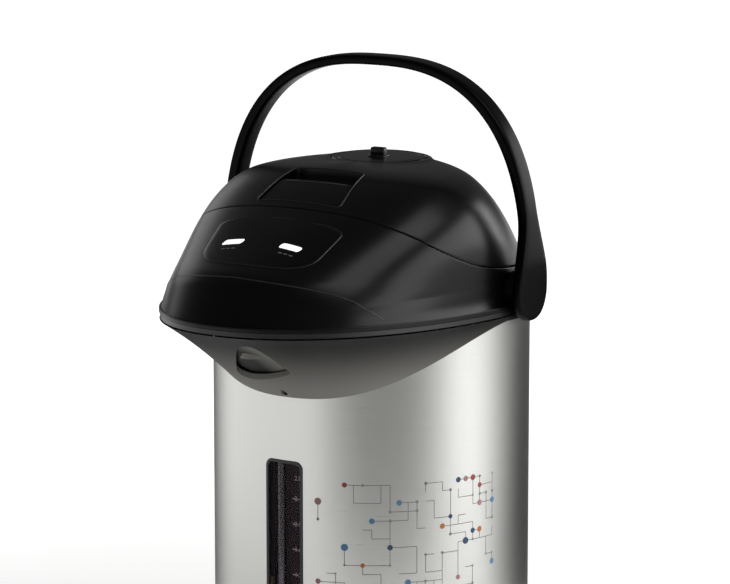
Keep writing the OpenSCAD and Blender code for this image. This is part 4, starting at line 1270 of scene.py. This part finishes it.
@dataclass
class SpoutHood:
    """Satin cover under the nose, painted darker towards the rim as shade, and the strip under the
    rim, set in and near black as painted shade of the gap there.

    chute holds the middle and reach of its azimuth, in degrees, then of its share of the cover's
    height. chute_section pairs an inset with a share of that reach, top_section a share of the
    cover's height with an inset, and screw_section a radius with a distance along the screw.
    """

    form: HeadForm
    columns: int = 320
    trim_h: float = 3.5
    trim_inset: float = 0.8
    fit: float = 0.3
    lip_z: float = 215.0
    lip_rise: float = 42.0
    least: float = 2.5
    hollow: float = 3.0
    hollow_spread: float = 70.0
    opening: Section = (
        (-26.7, -118), (-13, -140), (-0.5, -160), (5, -166), (10, -168.5), (14.5, -167.5),
        (16.5, -161), (17.8, -150), (18.2, -138), (19.8, -129.5), (12.4, -127), (6, -124.6),
        (-1.4, -121.8), (-10.4, -118.6), (-19.7, -115.2))
    chute: tuple[float, float, float, float] = (272.0, 16.0, 0.5, 0.42)
    chute_section: Section = (
        (3.2, 0.03), (3.2, 0.3), (3.2, 0.6), (3.2, 0.85), (3.2, 1.0), (4.6, 1.0), (4.6, 0.6),
        (4.6, 0.03))
    top_section: Section = ((0.995, 0.25), (1.0, 0.8), (1.0, 2.4))
    inner_shares: tuple[float, ...] = (0.8, 0.5, 0.25, 0.08)
    wall: float = 2.4
    skin_rows: int = 36
    opening_heights: Pair = (205.0, 262.0)
    screw_section: Section = ((0.0, -4.2), (1.8, -4.2), (1.8, 4.1), (1.2, 4.3), (0.0, 4.1))
    screw_reach: Pair = (-122.0, -96.0)
    screw_z: float = 219.0
    screw_y: float = -97.9
    screw_hole_r: float = 2.1
    lip_power: float = 2.6
    body_r: float = 100.35

    def plane(self, y: Array) -> Array:
        """Height of the rim's plane."""
        return self.form.rim_z - y*math.tan(math.radians(self.form.rim_tilt))

    def keep_out(self, p: Array) -> Array:
        """Points pushed out of the body's cylinder.

        Args:
            p: the points.
        Returns:
            The same points, with those inside it put on it.
        """
        r = np.hypot(p[:, 0], p[:, 1])
        p = p.copy()
        p[:, :2] *= (np.maximum(r, self.body_r)/r)[:, None]
        return p

    def ring(self, turn: Array, share: float | Array, inset: float) -> Array:
        """Ring of the cover's skin; share 0 is its lip and 1 its edge at the rim.

        Args:
            turn: angles of its points, in radians.
            share: share of the cover's height.
            inset: how far it is drawn in.
        Returns:
            The points.
        """
        r = self.form.half_w - inset
        share = np.asarray(share, float).reshape(-1, 1)
        from_front = np.abs((np.degrees(turn) + 270) % 360 - 180)
        rise = np.where(from_front > 90, 1.0,
                        np.abs(np.sin(np.radians(from_front)))**self.lip_power)
        x, y = r*np.cos(turn), r*np.sin(turn)
        lip = np.minimum(self.lip_z + self.lip_rise*rise,
                         self.plane(y) - self.trim_h - self.fit - self.least)
        edge = self.form.rim_outline(turn, inset)
        top = self.plane(edge[:, 1]) - self.trim_h - self.fit
        low = np.column_stack([x, y, lip + 1.2*inset])
        high = np.column_stack([edge, top - 0.4*inset])
        at_front = np.clip(1 - from_front/self.hollow_spread, 0, 1)[:, None]
        lift = 4*self.hollow*share*(1 - share)*smooth(at_front)
        return low*(1 - share) + high*share + lift*np.array([0, 0, 1])

    def build(self) -> None:
        """Makes the cover with its teardrop opening, the chute in it, the trim and the screw."""
        turn = turns(self.columns)
        skin = [self.ring(turn, s, 0) for s in np.linspace(0.004, 0.985, self.skin_rows)]
        lip = [self.keep_out(self.ring(turn, 0, 1.1)), self.ring(turn, 0, 0.35)]
        top = [self.ring(turn, share, inset) for share, inset in self.top_section]
        inner = [self.keep_out(self.ring(turn, s, self.wall)) for s in self.inner_shares]
        # the cover's satin grey is painted darker towards the rim, as shade under the rim
        hood = piece_of("spout_hood", *loops(lip + skin + top + inner, wrap=True), SATIN_GREY)
        tear = np.array(self.opening, float)
        for _ in range(3):
            ahead = np.roll(tear, -1, 0)
            tear = np.stack([0.75*tear + 0.25*ahead, 0.25*tear + 0.75*ahead], 1).reshape(-1, 2)
        a = turns(48)
        c, s = np.cos(a), np.sin(a)
        hole = np.column_stack([self.screw_hole_r*c, self.screw_z + self.screw_hole_r*s])
        cut(hood, prism("tear_cut", tear, self.opening_heights, SATIN_GREY),
            prism("screw_cut", hole, self.screw_reach, SATIN_GREY, upright=False))
        turn_mid, turn_half, share_mid, share_half = self.chute
        rows = [self.ring(np.radians(turn_mid + turn_half*k*c), share_mid + share_half*k*s, inset)
                for inset, k in self.chute_section]
        # the chute's colour is painted light and shade: black at the left, light grey at the right
        chute = piece_of("spout_chute", *loops(rows), CHUTE_GREY)
        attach(chute, "pot")
        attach(hood, "pot")
        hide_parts("spout_cover")
        # the strip is set in under the rim, and its near-black colour is painted shade of the gap
        # there
        foot = -self.trim_h
        section = ((0.3, 0), (0, -0.3), (0, foot + 0.4), (0.4, foot), (2.2, foot), (2.2, 0))
        rows = [self.keep_out(self.form.rim_point(
            self.form.rim_outline(turn, self.trim_inset + inset), h)) for inset, h in section]
        trim = piece_of("rim_strip", *loops(rows, wrap=True), BEZEL_BLACK)
        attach(trim, "pot")
        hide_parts("rim_trim")
        dot = lathe("screw_cap", self.screw_section, BEZEL_BLACK, 0.3, 0, 48)
        for v in dot.data.vertices:
            x, y, z = v.co
            v.co = (x, self.screw_y*MM - z, self.screw_z*MM + y)
        turn_out(dot.data)
        soften(dot)
        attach(dot, "pot")
        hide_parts("cover_screw")
        log.info("spout_hood, rim_strip, screw_cap")


@dataclass
class Casing:
    """Steel casing with the level window."""

    r: float = 100.0
    sheet: float = 0.8
    low: float = 24.0
    high: float = 257.0
    window_x: float = -4.5
    window: Pair = (27.0, 113.0)
    window_mid: float = 118.5
    border: float = 2.0
    corner: float = 5.0
    proud: float = 0.4
    plate_r: float = 90.7
    inlet: Triple = (36.2, 22.2, 3.0)
    inlet_z: float = 46.8
    inlet_reach: Pair = (85.0, 110.0)
    window_reach: Pair = (-110.0, -80.0)
    top_number: float = 2.8
    first_number: float = 2.4
    number_step: float = 0.4
    ticks: int = 6
    tick_pitch: float = 16.1
    tick_top: float = 149.0
    tick: Triple = (4.2, 0.06, 0.7)
    tick_x: float = -1.5
    tick_proud: float = 0.05
    number_x: float = 0.3
    number_proud: float = 0.06

    def round_body(self, radius: float) -> Place:
        """Gives the place of (across, height) points on the front of a cylinder.

        Args:
            radius: radius of the cylinder.
        Returns:
            What puts points there.
        """
        def place(q: Array, depth: float) -> Array:
            """Points put on the cylinder, raised by depth."""
            r = radius + depth
            return np.column_stack([q[:, 0], -np.sqrt(r*r - q[:, 0]**2), q[:, 1]])
        return place

    def frame_outline(self, inset: float) -> Array:
        """Outline of the window's frame, drawn in.

        Args:
            inset: how far.
        Returns:
            Its points, in turn.
        """
        w, h = self.window
        return rounded_outline(w - 2*inset, h - 2*inset, self.corner - inset) + np.array(
            [self.window_x, self.window_mid])

    def build(self) -> None:
        """Makes the casing, the window's frame, lens and plate, and its scale."""
        turn = turns(360)
        section = [(self.sheet, self.low + 0.3), (0.4, self.low), (0.1, self.low + 0.12)]
        section += [(0.0, z) for z in np.linspace(self.low + 0.5, self.high, 60)]
        section.append((self.sheet, self.high))
        rows = [raised((self.r - inset)*np.column_stack([np.cos(turn), np.sin(turn)]), z)
                for inset, z in section]
        casing = piece_of("steel_casing", *loops(rows, wrap=True), CASING_STEEL)
        inlet = rounded_outline(*self.inlet) + np.array([0, self.inlet_z])
        cut(casing, prism("window_cut", self.frame_outline(-0.1), self.window_reach, CASING_STEEL,
                          upright=False),
            prism("inlet_cut", inlet, self.inlet_reach, CASING_STEEL, upright=False))
        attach(casing, "pot")
        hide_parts("outer_casing")
        on_body = self.round_body(self.r)
        section = ((0, -1.8), (0, 0.15), (0.25, self.proud), (self.border - 0.3, self.proud),
                   (self.border, 0.1), (self.border, -1.8))
        bezel = piece_of("window_bezel", *loops(
            [on_body(self.frame_outline(i), d) for i, d in section], wrap=True), BEZEL_BLACK)
        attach(bezel, "pot")
        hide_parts("window_frame")
        lens = pillow("window_pane", self.frame_outline(self.border + 0.05), on_body, -0.2, -1.8,
                      0.2, WINDOW_ACRYLIC)
        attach(lens, "pot")
        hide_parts("window_lens")
        plate = pillow("gauge_plate", self.frame_outline(0.5), self.round_body(self.plate_r), 0,
                       -0.8, 0.1, PLUM_PLATE)
        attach(plate, "pot")
        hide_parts("scale_plate")
        log.info("steel_casing, window_bezel, window_pane, gauge_plate")
        self.scale()

    def scale(self) -> None:
        """Makes the level scale: ticks by Geometry Nodes, and plain numbers at each one."""
        piece = placed("level_ticks", bpy.data.meshes.new("level_ticks"))
        tree = GeometryTree("level_ticks", {"Pitch": self.tick_pitch*MM, "Count": self.ticks,
                                            "Tick": tuple(v*MM for v in self.tick)})
        line = tree.add("GeometryNodeMeshLine", {
            "Count": tree.value("Count"), "Offset": tree.drop("Pitch")})
        mark = tree.add("GeometryNodeMeshCube", {"Size": tree.value("Tick")})
        spot = tree.add("GeometryNodeInstanceOnPoints", {
            "Points": line.outputs["Mesh"], "Instance": mark.outputs["Mesh"]})
        shifted = tree.add("GeometryNodeSetPosition", {
            "Geometry": spot.outputs["Instances"],
            "Offset": (self.tick_x*MM, -(self.plate_r + self.tick_proud)*MM, self.tick_top*MM)})
        piece = tree.run(piece, shifted.outputs["Geometry"], WHITE_PRINT)
        numbers = [self.number(self.first_number - self.number_step*k,
                               self.tick_top - self.tick_pitch*k) for k in range(self.ticks)]
        numbers.append(self.number(self.top_number, self.tick_top + 0.8*self.tick_pitch))
        marks = join("level_scale", [piece] + numbers)
        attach(marks, "pot")
        log.info("level_scale")

    def number(self, litres: float, z: float, height: float = 4.2) -> Piece:
        """Plain number printed on the gauge's plate.

        Args:
            litres: the number.
            z: its height over the counter.
            height: height of its figures.
        Returns:
            The number.
        """
        curve = bpy.data.curves.new("number", "FONT")
        curve.body, curve.size, curve.extrude = f"{litres:.1f}", height*MM, 0.04*MM
        curve.align_x, curve.align_y = "CENTER", "CENTER"
        holder = placed("number", curve)
        mesh = evaluated(holder)
        bpy.data.objects.remove(holder)
        face_r = (self.plate_r + self.number_proud)*MM
        for v in mesh.vertices:
            across, up, out = v.co
            across += self.number_x*MM
            v.co = (across, -math.sqrt(face_r**2 - across**2) - out, z*MM + up)
        made = placed("number", mesh)
        made.data.materials.clear()
        made.data.materials.append(WHITE_PRINT.material())
        return made


class GeometryTree:
    """A Geometry Nodes tree with named inputs, run once and turned into a plain mesh."""

    def __init__(self, name: str, sizes: dict) -> None:
        """Starts the tree.

        Args:
            name: the tree's name.
            sizes: named inputs with their values.
        """
        self.tree = bpy.data.node_groups.new(name, "GeometryNodeTree")
        self.sizes = sizes
        for way in ("INPUT", "OUTPUT"):
            self.tree.interface.new_socket("Geometry", in_out=way,
                                           socket_type="NodeSocketGeometry")
        kinds = {int: "NodeSocketInt", float: "NodeSocketFloat", tuple: "NodeSocketVector"}
        self.sockets = {key: self.tree.interface.new_socket(
            key, in_out="INPUT", socket_type=kinds[type(value)]).identifier
            for key, value in sizes.items()}
        self.entry = self.tree.nodes.new("NodeGroupInput")

    def add(self, kind: str, inputs: dict | None = None, **settings) -> bpy.types.Node:
        """Adds a node to the tree."""
        return add(self.tree, kind, inputs, **settings)

    def value(self, key: str) -> Socket:
        """Socket of a named input."""
        return self.entry.outputs[key]

    def drop(self, key: str) -> Socket:
        """A named length as a downward vector."""
        down = self.compute("MULTIPLY", self.value(key), -1.0)
        return self.add("ShaderNodeCombineXYZ", {"Z": down}).outputs[0]

    def compute(self, operation: str, *values: float | Socket) -> Socket:
        """Result of a math node of the tree."""
        return compute(self.tree, operation, *values)

    def run(self, piece: Piece, result: Socket, finish: Finish) -> Piece:
        """Ends the tree, runs it on a piece and keeps the result as the piece's mesh.

        Args:
            piece: the piece.
            result: socket of its new shape.
            finish: its finish.
        Returns:
            The same piece.
        """
        real = self.add("GeometryNodeRealizeInstances", {"Geometry": result})
        dressed = self.add("GeometryNodeSetMaterial", {
            "Geometry": real.outputs["Geometry"], "Material": finish.material()})
        end = self.tree.nodes.new("NodeGroupOutput")
        self.tree.links.new(dressed.outputs["Geometry"], end.inputs["Geometry"])
        step = piece.modifiers.new("shape", "NODES")
        step.node_group = self.tree
        for key, value in self.sizes.items():
            step[self.sockets[key]] = value
        mesh = evaluated(piece)
        piece.modifiers.remove(step)
        piece.data = mesh
        return piece


@dataclass
class Handle:
    """Bail handle: one strap that widens into a round boss at each end."""

    pivot: Pair = (9.0, 274.0)
    outer: Pair = (112.0, 140.0)
    inner: Pair = (104.5, 133.5)
    power: float = 2.6
    half_w: float = 8.0
    boss_r: float = 19.0
    flare: float = 50.0
    section: float = 4.5
    boss_in: float = 104.0
    boss_out: float = 111.2
    boss_ease: float = 16.0
    boss_rows: int = 34
    arch_rows: int = 220

    def arch(self, a: float, size: Pair) -> Array:
        """Point of an arch over the pivot, in (across, up)."""
        c, s = math.cos(a), math.sin(a)
        return np.array([size[0]*bulged(c, 2/self.power), size[1]*bulged(s, 2/self.power)])

    def ring(self, out: Array, into: Array, half: float, steps: int = 44) -> Array:
        """Section of the strap between its outer and inner points.

        Args:
            out: outer point.
            into: inner point.
            half: half width of the strap.
            steps: how many points go round it.
        Returns:
            The points.
        """
        turn = turns(steps)
        u = bulged(np.cos(turn), 2/self.section)
        # the wide sides keep a small radius even where the boss is broad
        v = bulged(np.sin(turn), 2/self.section*min(1.0, self.half_w/max(half, 1e-3))**0.5)
        mid, span = (out + into)/2, (out - into)/2
        return np.column_stack([mid[0] + span[0]*u, self.pivot[0] + half*v,
                                self.pivot[1] + mid[1] + span[1]*u])

    def half_at(self, h: float) -> float:
        """Half width of the strap at a height over the pivot."""
        t = min(1.0, max(0.0, h/self.flare))
        return self.boss_r + (self.half_w - self.boss_r)*smooth(t)

    def build(self) -> None:
        """Makes the handle's closed skin."""
        ends = []
        for a in np.radians(np.linspace(89, 2, self.boss_rows)):
            thin = min(1.0, 0.25 + math.cos(a)**0.5)
            mid, span = (self.boss_in + self.boss_out)/2, (self.boss_out - self.boss_in)/2*thin
            h, half = -self.boss_r*math.sin(a), self.boss_r*math.cos(a)
            ends.append((np.array([mid + span, h]), np.array([mid - span, h]), half))
        rows = [self.ring(*end) for end in ends]
        for a in np.linspace(0.004, math.pi - 0.004, self.arch_rows):
            o, i = self.arch(a, self.outer), self.arch(a, self.inner)
            h = (o[1] + i[1])/2
            ease = max(0.0, 1 - h/self.boss_ease)
            o[0] -= math.copysign((self.outer[0] - self.boss_out)*ease, o[0])
            i[0] -= math.copysign((self.inner[0] - self.boss_in)*ease, i[0])
            rows.append(self.ring(o, i, self.half_at(h)))
        mirror = np.array([-1, 1])
        rows += [self.ring(o*mirror, i*mirror, half) for o, i, half in reversed(ends)]
        bail = piece_of("bail_handle", *loops(rows), HANDLE_BLACK, 60)
        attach(bail, "handle")
        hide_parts("handle")
        log.info("bail_handle: %d faces", len(bail.data.polygons))


@dataclass
class Base:
    """Swivel plate and foot pad, each from a section of radius and height."""

    plate_section: Section = (
        (0.0, 2.0), (79.5, 2.0), (82.0, 4.0), (82.0, 7.0), (8.0, 7.0), (8.0, 10.2), (0.0, 10.2))
    pad_section: Section = (
        (0.0, 0.6), (64.0, 0.6), (65.0, 0.0), (72.0, 0.0), (72.0, 2.0), (0.0, 2.0))

    def build(self) -> None:
        """Makes the turned pieces of the base with their rounded edges."""
        plate = lathe("turn_plate", self.plate_section, BASE_GREY, 0.7)
        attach(plate, "base")
        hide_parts("swivel_plate")
        pad = lathe("foot_pad", self.pad_section, FOOT_RUBBER, 0.3)
        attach(pad, "base")
        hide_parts("non_slip_pad")
        log.info("turn_plate, foot_pad")


@dataclass
class Print:
    """Screen-printed lattice of lines and dots: a generic design, made by Geometry Nodes."""

    r: float = 100.0
    line_w: float = 0.42
    pitch: float = 5.6
    left: float = 19.0
    low: float = 62.0
    cells: tuple[int, int] = (22, 19)
    walks: int = 34
    seed: int = 29
    mark_chance: float = 0.45
    mist_chance: float = 0.6
    small_marks: Pair = (1.3, 2.3)
    large_marks: Pair = (2.6, 4.6)
    line_parts: int = 4
    flatness: float = 0.03

    def build(self) -> None:
        """Walks at random along a lattice, and puts marks where the walks turn and end."""
        rng = np.random.default_rng(self.seed)
        ways = ((1, 0), (0, 1), (-1, 0), (0, -1))
        edges: set = set()
        marks: dict = {}
        coloured = [ink for ink in Ink if ink not in (Ink.STEM, Ink.MIST)]
        for _ in range(self.walks):
            at = (int(rng.integers(self.cells[0])), int(rng.integers(self.cells[1])))
            way = int(rng.integers(4))
            for _ in range(int(rng.integers(3, 7))):
                for _ in range(int(rng.integers(1, 4))):
                    to = (at[0] + ways[way][0], at[1] + ways[way][1])
                    if not (0 <= to[0] < self.cells[0] and 0 <= to[1] < self.cells[1]):
                        break
                    edges.add((min(at, to), max(at, to)))
                    at = to
                if rng.random() < self.mark_chance:
                    marks.setdefault(at, (Ink.MIST if rng.random() < self.mist_chance else Ink.STEM,
                                          float(rng.uniform(*self.small_marks))))
                way = (way + (1 if rng.random() < 0.5 else 3)) % 4
            marks[at] = (coloured[int(rng.integers(len(coloured)))],
                         float(rng.uniform(*self.large_marks)))
        vertices, joints = [], []
        for a, b in sorted(edges):
            start = len(vertices)
            for share in np.linspace(0, 1, self.line_parts + 1):
                vertices.append(self.spot(a[0] + (b[0] - a[0])*share, a[1] + (b[1] - a[1])*share))
            joints += [(start + k, start + k + 1) for k in range(self.line_parts)]
        self.wrap("print_lines", vertices, joints, None, Ink.STEM.value)
        for ink in Ink:
            found = [(self.spot(*at), size) for at, (kind, size) in sorted(marks.items())
                     if kind is ink]
            if found:
                self.wrap(f"print_{ink.name.lower()}", [f[0] for f in found], [],
                          [f[1]*MM for f in found], ink.value)
        log.info("print: %d lines, %d marks", len(edges), len(marks))

    def spot(self, column: float, row: float) -> Triple:
        """Place of a lattice point: distance round the casing and height, in metres."""
        return (self.left + column*self.pitch)*MM, (self.low + row*self.pitch)*MM, 0.0

    def wrap(self, name: str, vertices: list, edges: list, sizes: list | None,
             finish: Finish) -> None:
        """Makes lines or marks flat and wraps them round the casing.

        Args:
            name: the piece's name.
            vertices: points along the casing, in metres: distance round it, height, 0.
            edges: edges of the lines; empty for marks.
            sizes: width of each mark, in metres.
            finish: the ink.
        """
        mesh = bpy.data.meshes.new(name)
        mesh.from_pydata(vertices, edges, [])
        if sizes is not None:
            mesh.attributes.new("size", "FLOAT", "POINT").data.foreach_set("value", sizes)
        piece = placed(name, mesh)
        tree = GeometryTree(name, {"Radius": (self.r + 0.02)*MM, "Width": self.line_w*MM})
        source = tree.entry.outputs["Geometry"]
        if sizes is None:
            curve = tree.add("GeometryNodeMeshToCurve", {"Mesh": source})
            ring = tree.add("GeometryNodeCurvePrimitiveCircle", {
                "Resolution": 6, "Radius": tree.compute("MULTIPLY", tree.value("Width"), 0.5)})
            flat = tree.add("GeometryNodeCurveToMesh", {
                "Curve": curve.outputs[0], "Profile Curve": ring.outputs["Curve"],
                "Fill Caps": True}).outputs["Mesh"]
        else:
            dot = tree.add("GeometryNodeMeshIcoSphere", {"Radius": 0.5, "Subdivisions": 3})
            size = tree.add("GeometryNodeInputNamedAttribute", {"Name": "size"}, data_type="FLOAT")
            put = tree.add("GeometryNodeInstanceOnPoints", {
                "Points": source, "Instance": dot.outputs["Mesh"],
                "Scale": size.outputs["Attribute"]})
            flat = tree.add("GeometryNodeRealizeInstances",
                            {"Geometry": put.outputs["Instances"]}).outputs["Geometry"]
        at = tree.add("ShaderNodeSeparateXYZ", {
            "Vector": tree.add("GeometryNodeInputPosition").outputs[0]})
        # the print is only a few hundredths of a millimetre thick
        thin = tree.compute("MULTIPLY", at.outputs["Z"], self.flatness)
        reach = tree.compute("ADD", tree.value("Radius"), thin)
        angle = tree.compute("DIVIDE", at.outputs["X"], tree.value("Radius"))
        x = tree.compute("MULTIPLY", reach, tree.compute("SINE", angle))
        y = tree.compute("MULTIPLY", reach, tree.compute("COSINE", angle))
        place = tree.add("ShaderNodeCombineXYZ", {
            "X": x, "Y": tree.compute("MULTIPLY", y, -1.0), "Z": at.outputs["Y"]})
        bent = tree.add("GeometryNodeSetPosition", {"Geometry": flat, "Position": place.outputs[0]})
        piece = tree.run(piece, bent.outputs["Geometry"], finish)
        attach(piece, "pot")


@dataclass
class CarriedOver:
    """Finishes of the CAD nodes that show as they are."""

    def dress(self) -> None:
        """Gives each node its finish."""
        finishes = {
            PALE_PP: ("collar", "gauge_elbow", "spout_pipe", "lid_underplate", "lid_plug",
                      "pump_guide", "pump_rod"),
            BEZEL_BLACK: ("hinge_bracket", "lid_hinge", "pivot_hubs"),
            BASE_GREY: ("base_pan",),
            POLISHED_STEEL: ("inner_container",),
            TURNED_STEEL: ("base_screws", "swivel_washer", "hinge_pin", "latch_pin", "latch_catch",
                           "pivot_pins", "pump_spring", "inlet_magnets"),
            SPANGLED_ZINC: ("heat_shield",), PIN_BRASS: ("inlet_pins",),
            STEATITE: ("thermostat", "thermal_fuse"), MICA: ("disc_heater", "band_heater"),
            BOARD_GREEN: ("power_board", "lamp_board"), FOOT_RUBBER: ("lid_gasket", "air_valve"),
            SILICONE: ("bellows",), ACETAL_GREY: ("spout_nozzle",), TUBE_GLASS: ("gauge_tube",),
            BLACK_GLOSS: ("power_inlet",),
        }
        for finish, names in finishes.items():
            for name in names:
                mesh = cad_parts[name].data
                for i in range(max(1, len(mesh.materials))):
                    if len(mesh.materials) <= i:
                        mesh.materials.append(finish.material())
                    mesh.materials[i] = finish.material()
        log.info("carried-over nodes: %d", sum(len(n) for n in finishes.values()))


# ---------------------------------------------------------------- studio

@dataclass
class Studio:
    """Camera, pale floor and soft light."""

    azimuth: float = 30.0
    distance: float = 2250.0
    camera_z: float = 685.0
    aim_z: float = 264.0
    aim_left: float = 4.1
    lens: float = 178.9
    lamp_aim_z: float = 250.0
    room_level: float = 0.14
    floor_r: float = 12.0
    floor_z: float = -0.0005
    # name, azimuth, distance, height, size in metres, watts
    soft_boxes: tuple = (("soft_box_rear", 126, 1300, 590, (2.3, 0.55), 14),
                         ("soft_box_left", -112, 1300, 660, (0.9, 0.5), 1.4),
                         ("soft_box_top", 100, 920, 1480, (0.8, 0.8), 6))
    # name, azimuth, distance, half width, height, colour
    gauzes: tuple = (("front_gauze", 40, 450, 610, 240, "#ededed"),
                     ("rear_gauze", 157, 270, 400, 260, "#606060"),
                     ("left_gauze", -120, 270, 260, 260, "#808080"))

    def point(self, azimuth: float, distance: float, z: float) -> Vector:
        """Point at an azimuth from the front, in millimetres turned to metres."""
        a = math.radians(azimuth)
        return Vector((distance*math.sin(a), -distance*math.cos(a), z))*MM

    @staticmethod
    def aimed(name: str, data: bpy.types.ID, place: Vector, aim: Vector) -> Piece:
        """Puts a camera or lamp in its place, turned to its aim.

        Args:
            name: its name.
            data: the camera or light.
            place: where it stands.
            aim: what it is turned to.
        Returns:
            The object.
        """
        made = placed(name, data)
        made.location = place
        made.rotation_euler = (aim - made.location).to_track_quat("-Z", "Y").to_euler()
        return made

    def camera(self) -> None:
        """Makes the camera at the photograph's angle."""
        data = bpy.data.cameras.new("camera")
        data.lens, data.sensor_width, data.clip_end = self.lens, 36.0, 50.0
        a = math.radians(self.azimuth)
        aim = Vector((-self.aim_left*math.cos(a), -self.aim_left*math.sin(a), self.aim_z))*MM
        place = self.point(self.azimuth, self.distance, self.camera_z)
        bpy.context.scene.camera = self.aimed("camera", data, place, aim)

    def lamp(self, name: str, azimuth: float, distance: float, z: float,
             size: Pair, watts: float) -> None:
        """Adds a soft box that faces the pot.

        Args:
            name: its name.
            azimuth: its azimuth in degrees.
            distance: how far it stands.
            z: its height.
            size: its width and height.
            watts: its power.
        """
        data = bpy.data.lights.new(name, "AREA")
        data.shape, data.size, data.size_y, data.energy = "RECTANGLE", size[0], size[1], watts
        self.aimed(name, data, self.point(azimuth, distance, z), Vector((0, 0, self.lamp_aim_z*MM)))

    def light(self) -> None:
        """Adds the soft boxes and the room's level."""
        for box in self.soft_boxes:
            self.lamp(*box)
        world = bpy.data.worlds.new("room")
        bpy.context.scene.world = world
        tree = cleared(world)
        room = add(tree, "ShaderNodeBackground", {
            "Color": linear("#f0f0f0"), "Strength": self.room_level})
        show(tree, room.outputs[0], "World")

    def floor(self) -> None:
        """Makes the pale floor, which shows white but keeps the pot's shadow."""
        mesh = bpy.data.meshes.new("floor")
        mesh.from_pydata([(self.floor_r*math.cos(a), self.floor_r*math.sin(a), self.floor_z)
                          for a in turns(64)], [], [tuple(range(64))])
        made = placed("floor", mesh)
        paper = bpy.data.materials.new("paper_sweep")
        tree = cleared(paper)
        path = add(tree, "ShaderNodeLightPath").outputs
        seen = compute(tree, "MAXIMUM", path["Is Camera Ray"], path["Is Glossy Ray"])
        seen = compute(tree, "MAXIMUM", seen, path["Is Transmission Ray"])
        where = add(tree, "ShaderNodeTexCoord").outputs["Object"]
        reach = add(tree, "ShaderNodeVectorMath", {0: where}, operation="LENGTH").outputs["Value"]
        # white where the lamps no longer reach; round the pot the shadow stays
        white = ramp(tree, reach, 0.2, 1.0, **{"To Min": 0.5, "To Max": 1.0})
        fibre = add(tree, "ShaderNodeTexNoise", {"Vector": where, "Scale": 900.0}).outputs["Fac"]
        sheet = add(tree, "ShaderNodeBsdfPrincipled", {
            "Base Color": blend(tree, fibre, linear("#f4f4f3"), linear("#efefee")),
            "Roughness": 0.9, "Specular IOR Level": 0.1, "Emission Color": linear("#ffffff"),
            "Emission Strength": compute(tree, "MULTIPLY", seen, white)})
        show(tree, sheet.outputs[0])
        mesh.materials.append(paper)

    def flag(self, name: str, azimuth: float, distance: float, half_w: float, height: float,
             colour: str) -> None:
        """Stands a grey gauze beside the pot, seen in reflections alone, for the steel.

        Args:
            name: the gauze's name.
            azimuth: its direction from the front, in degrees.
            distance: how far it stands from the pot's axis, in millimetres.
            half_w: half of its width. It thins out evenly from its middle to its ends.
            height: its height.
            colour: its sRGB colour.
        """
        mesh = bpy.data.meshes.new(name)
        mesh.from_pydata([(x*half_w*MM, 0, z*height*MM) for x, z in
                          ((-1, 0), (1, 0), (1, 1), (-1, 1))], [], [(0, 1, 2, 3)])
        made = placed(name, mesh)
        made.location = self.point(azimuth, distance, 0.0)
        made.rotation_euler = (0, 0, math.radians(azimuth))
        gauze = bpy.data.materials.new(name)
        tree = cleared(gauze)
        across = add(tree, "ShaderNodeSeparateXYZ", {
            "Vector": add(tree, "ShaderNodeTexCoord").outputs["Object"]})
        away = compute(tree, "ABSOLUTE", across.outputs["X"])
        cloth = add(tree, "ShaderNodeBsdfDiffuse", {"Color": linear(colour)})
        mixed = add(tree, "ShaderNodeMixShader", {
            0: ramp(tree, away, 0.1*half_w*MM, half_w*MM), 1: cloth.outputs[0],
            2: add(tree, "ShaderNodeBsdfTransparent").outputs[0]})
        show(tree, mixed.outputs[0])
        mesh.materials.append(gauze)
        made.visible_camera = made.visible_shadow = made.visible_diffuse = False

    def build(self) -> None:
        """Sets up everything that isn't part of the pot."""
        self.camera()
        self.light()
        self.floor()
        for gauze in self.gauzes:
            self.flag(*gauze)
        bpy.context.scene.view_settings.view_transform = "Standard"
        log.info("studio")


def main() -> None:
    """Builds the studio, then every piece in order."""
    logging.basicConfig(level=logging.INFO, format="%(name)s: %(message)s")
    Studio().build()
    form = HeadForm()
    lid = Lid(form)
    for part in (Shoulder(form), Panel(form), lid, Latch(form, lid), Pump(), SpoutHood(form),
                 Casing(), Handle(), Base(), Print()):
        part.build()
    CarriedOver().dress()


if __name__ == "__main__":
    main()
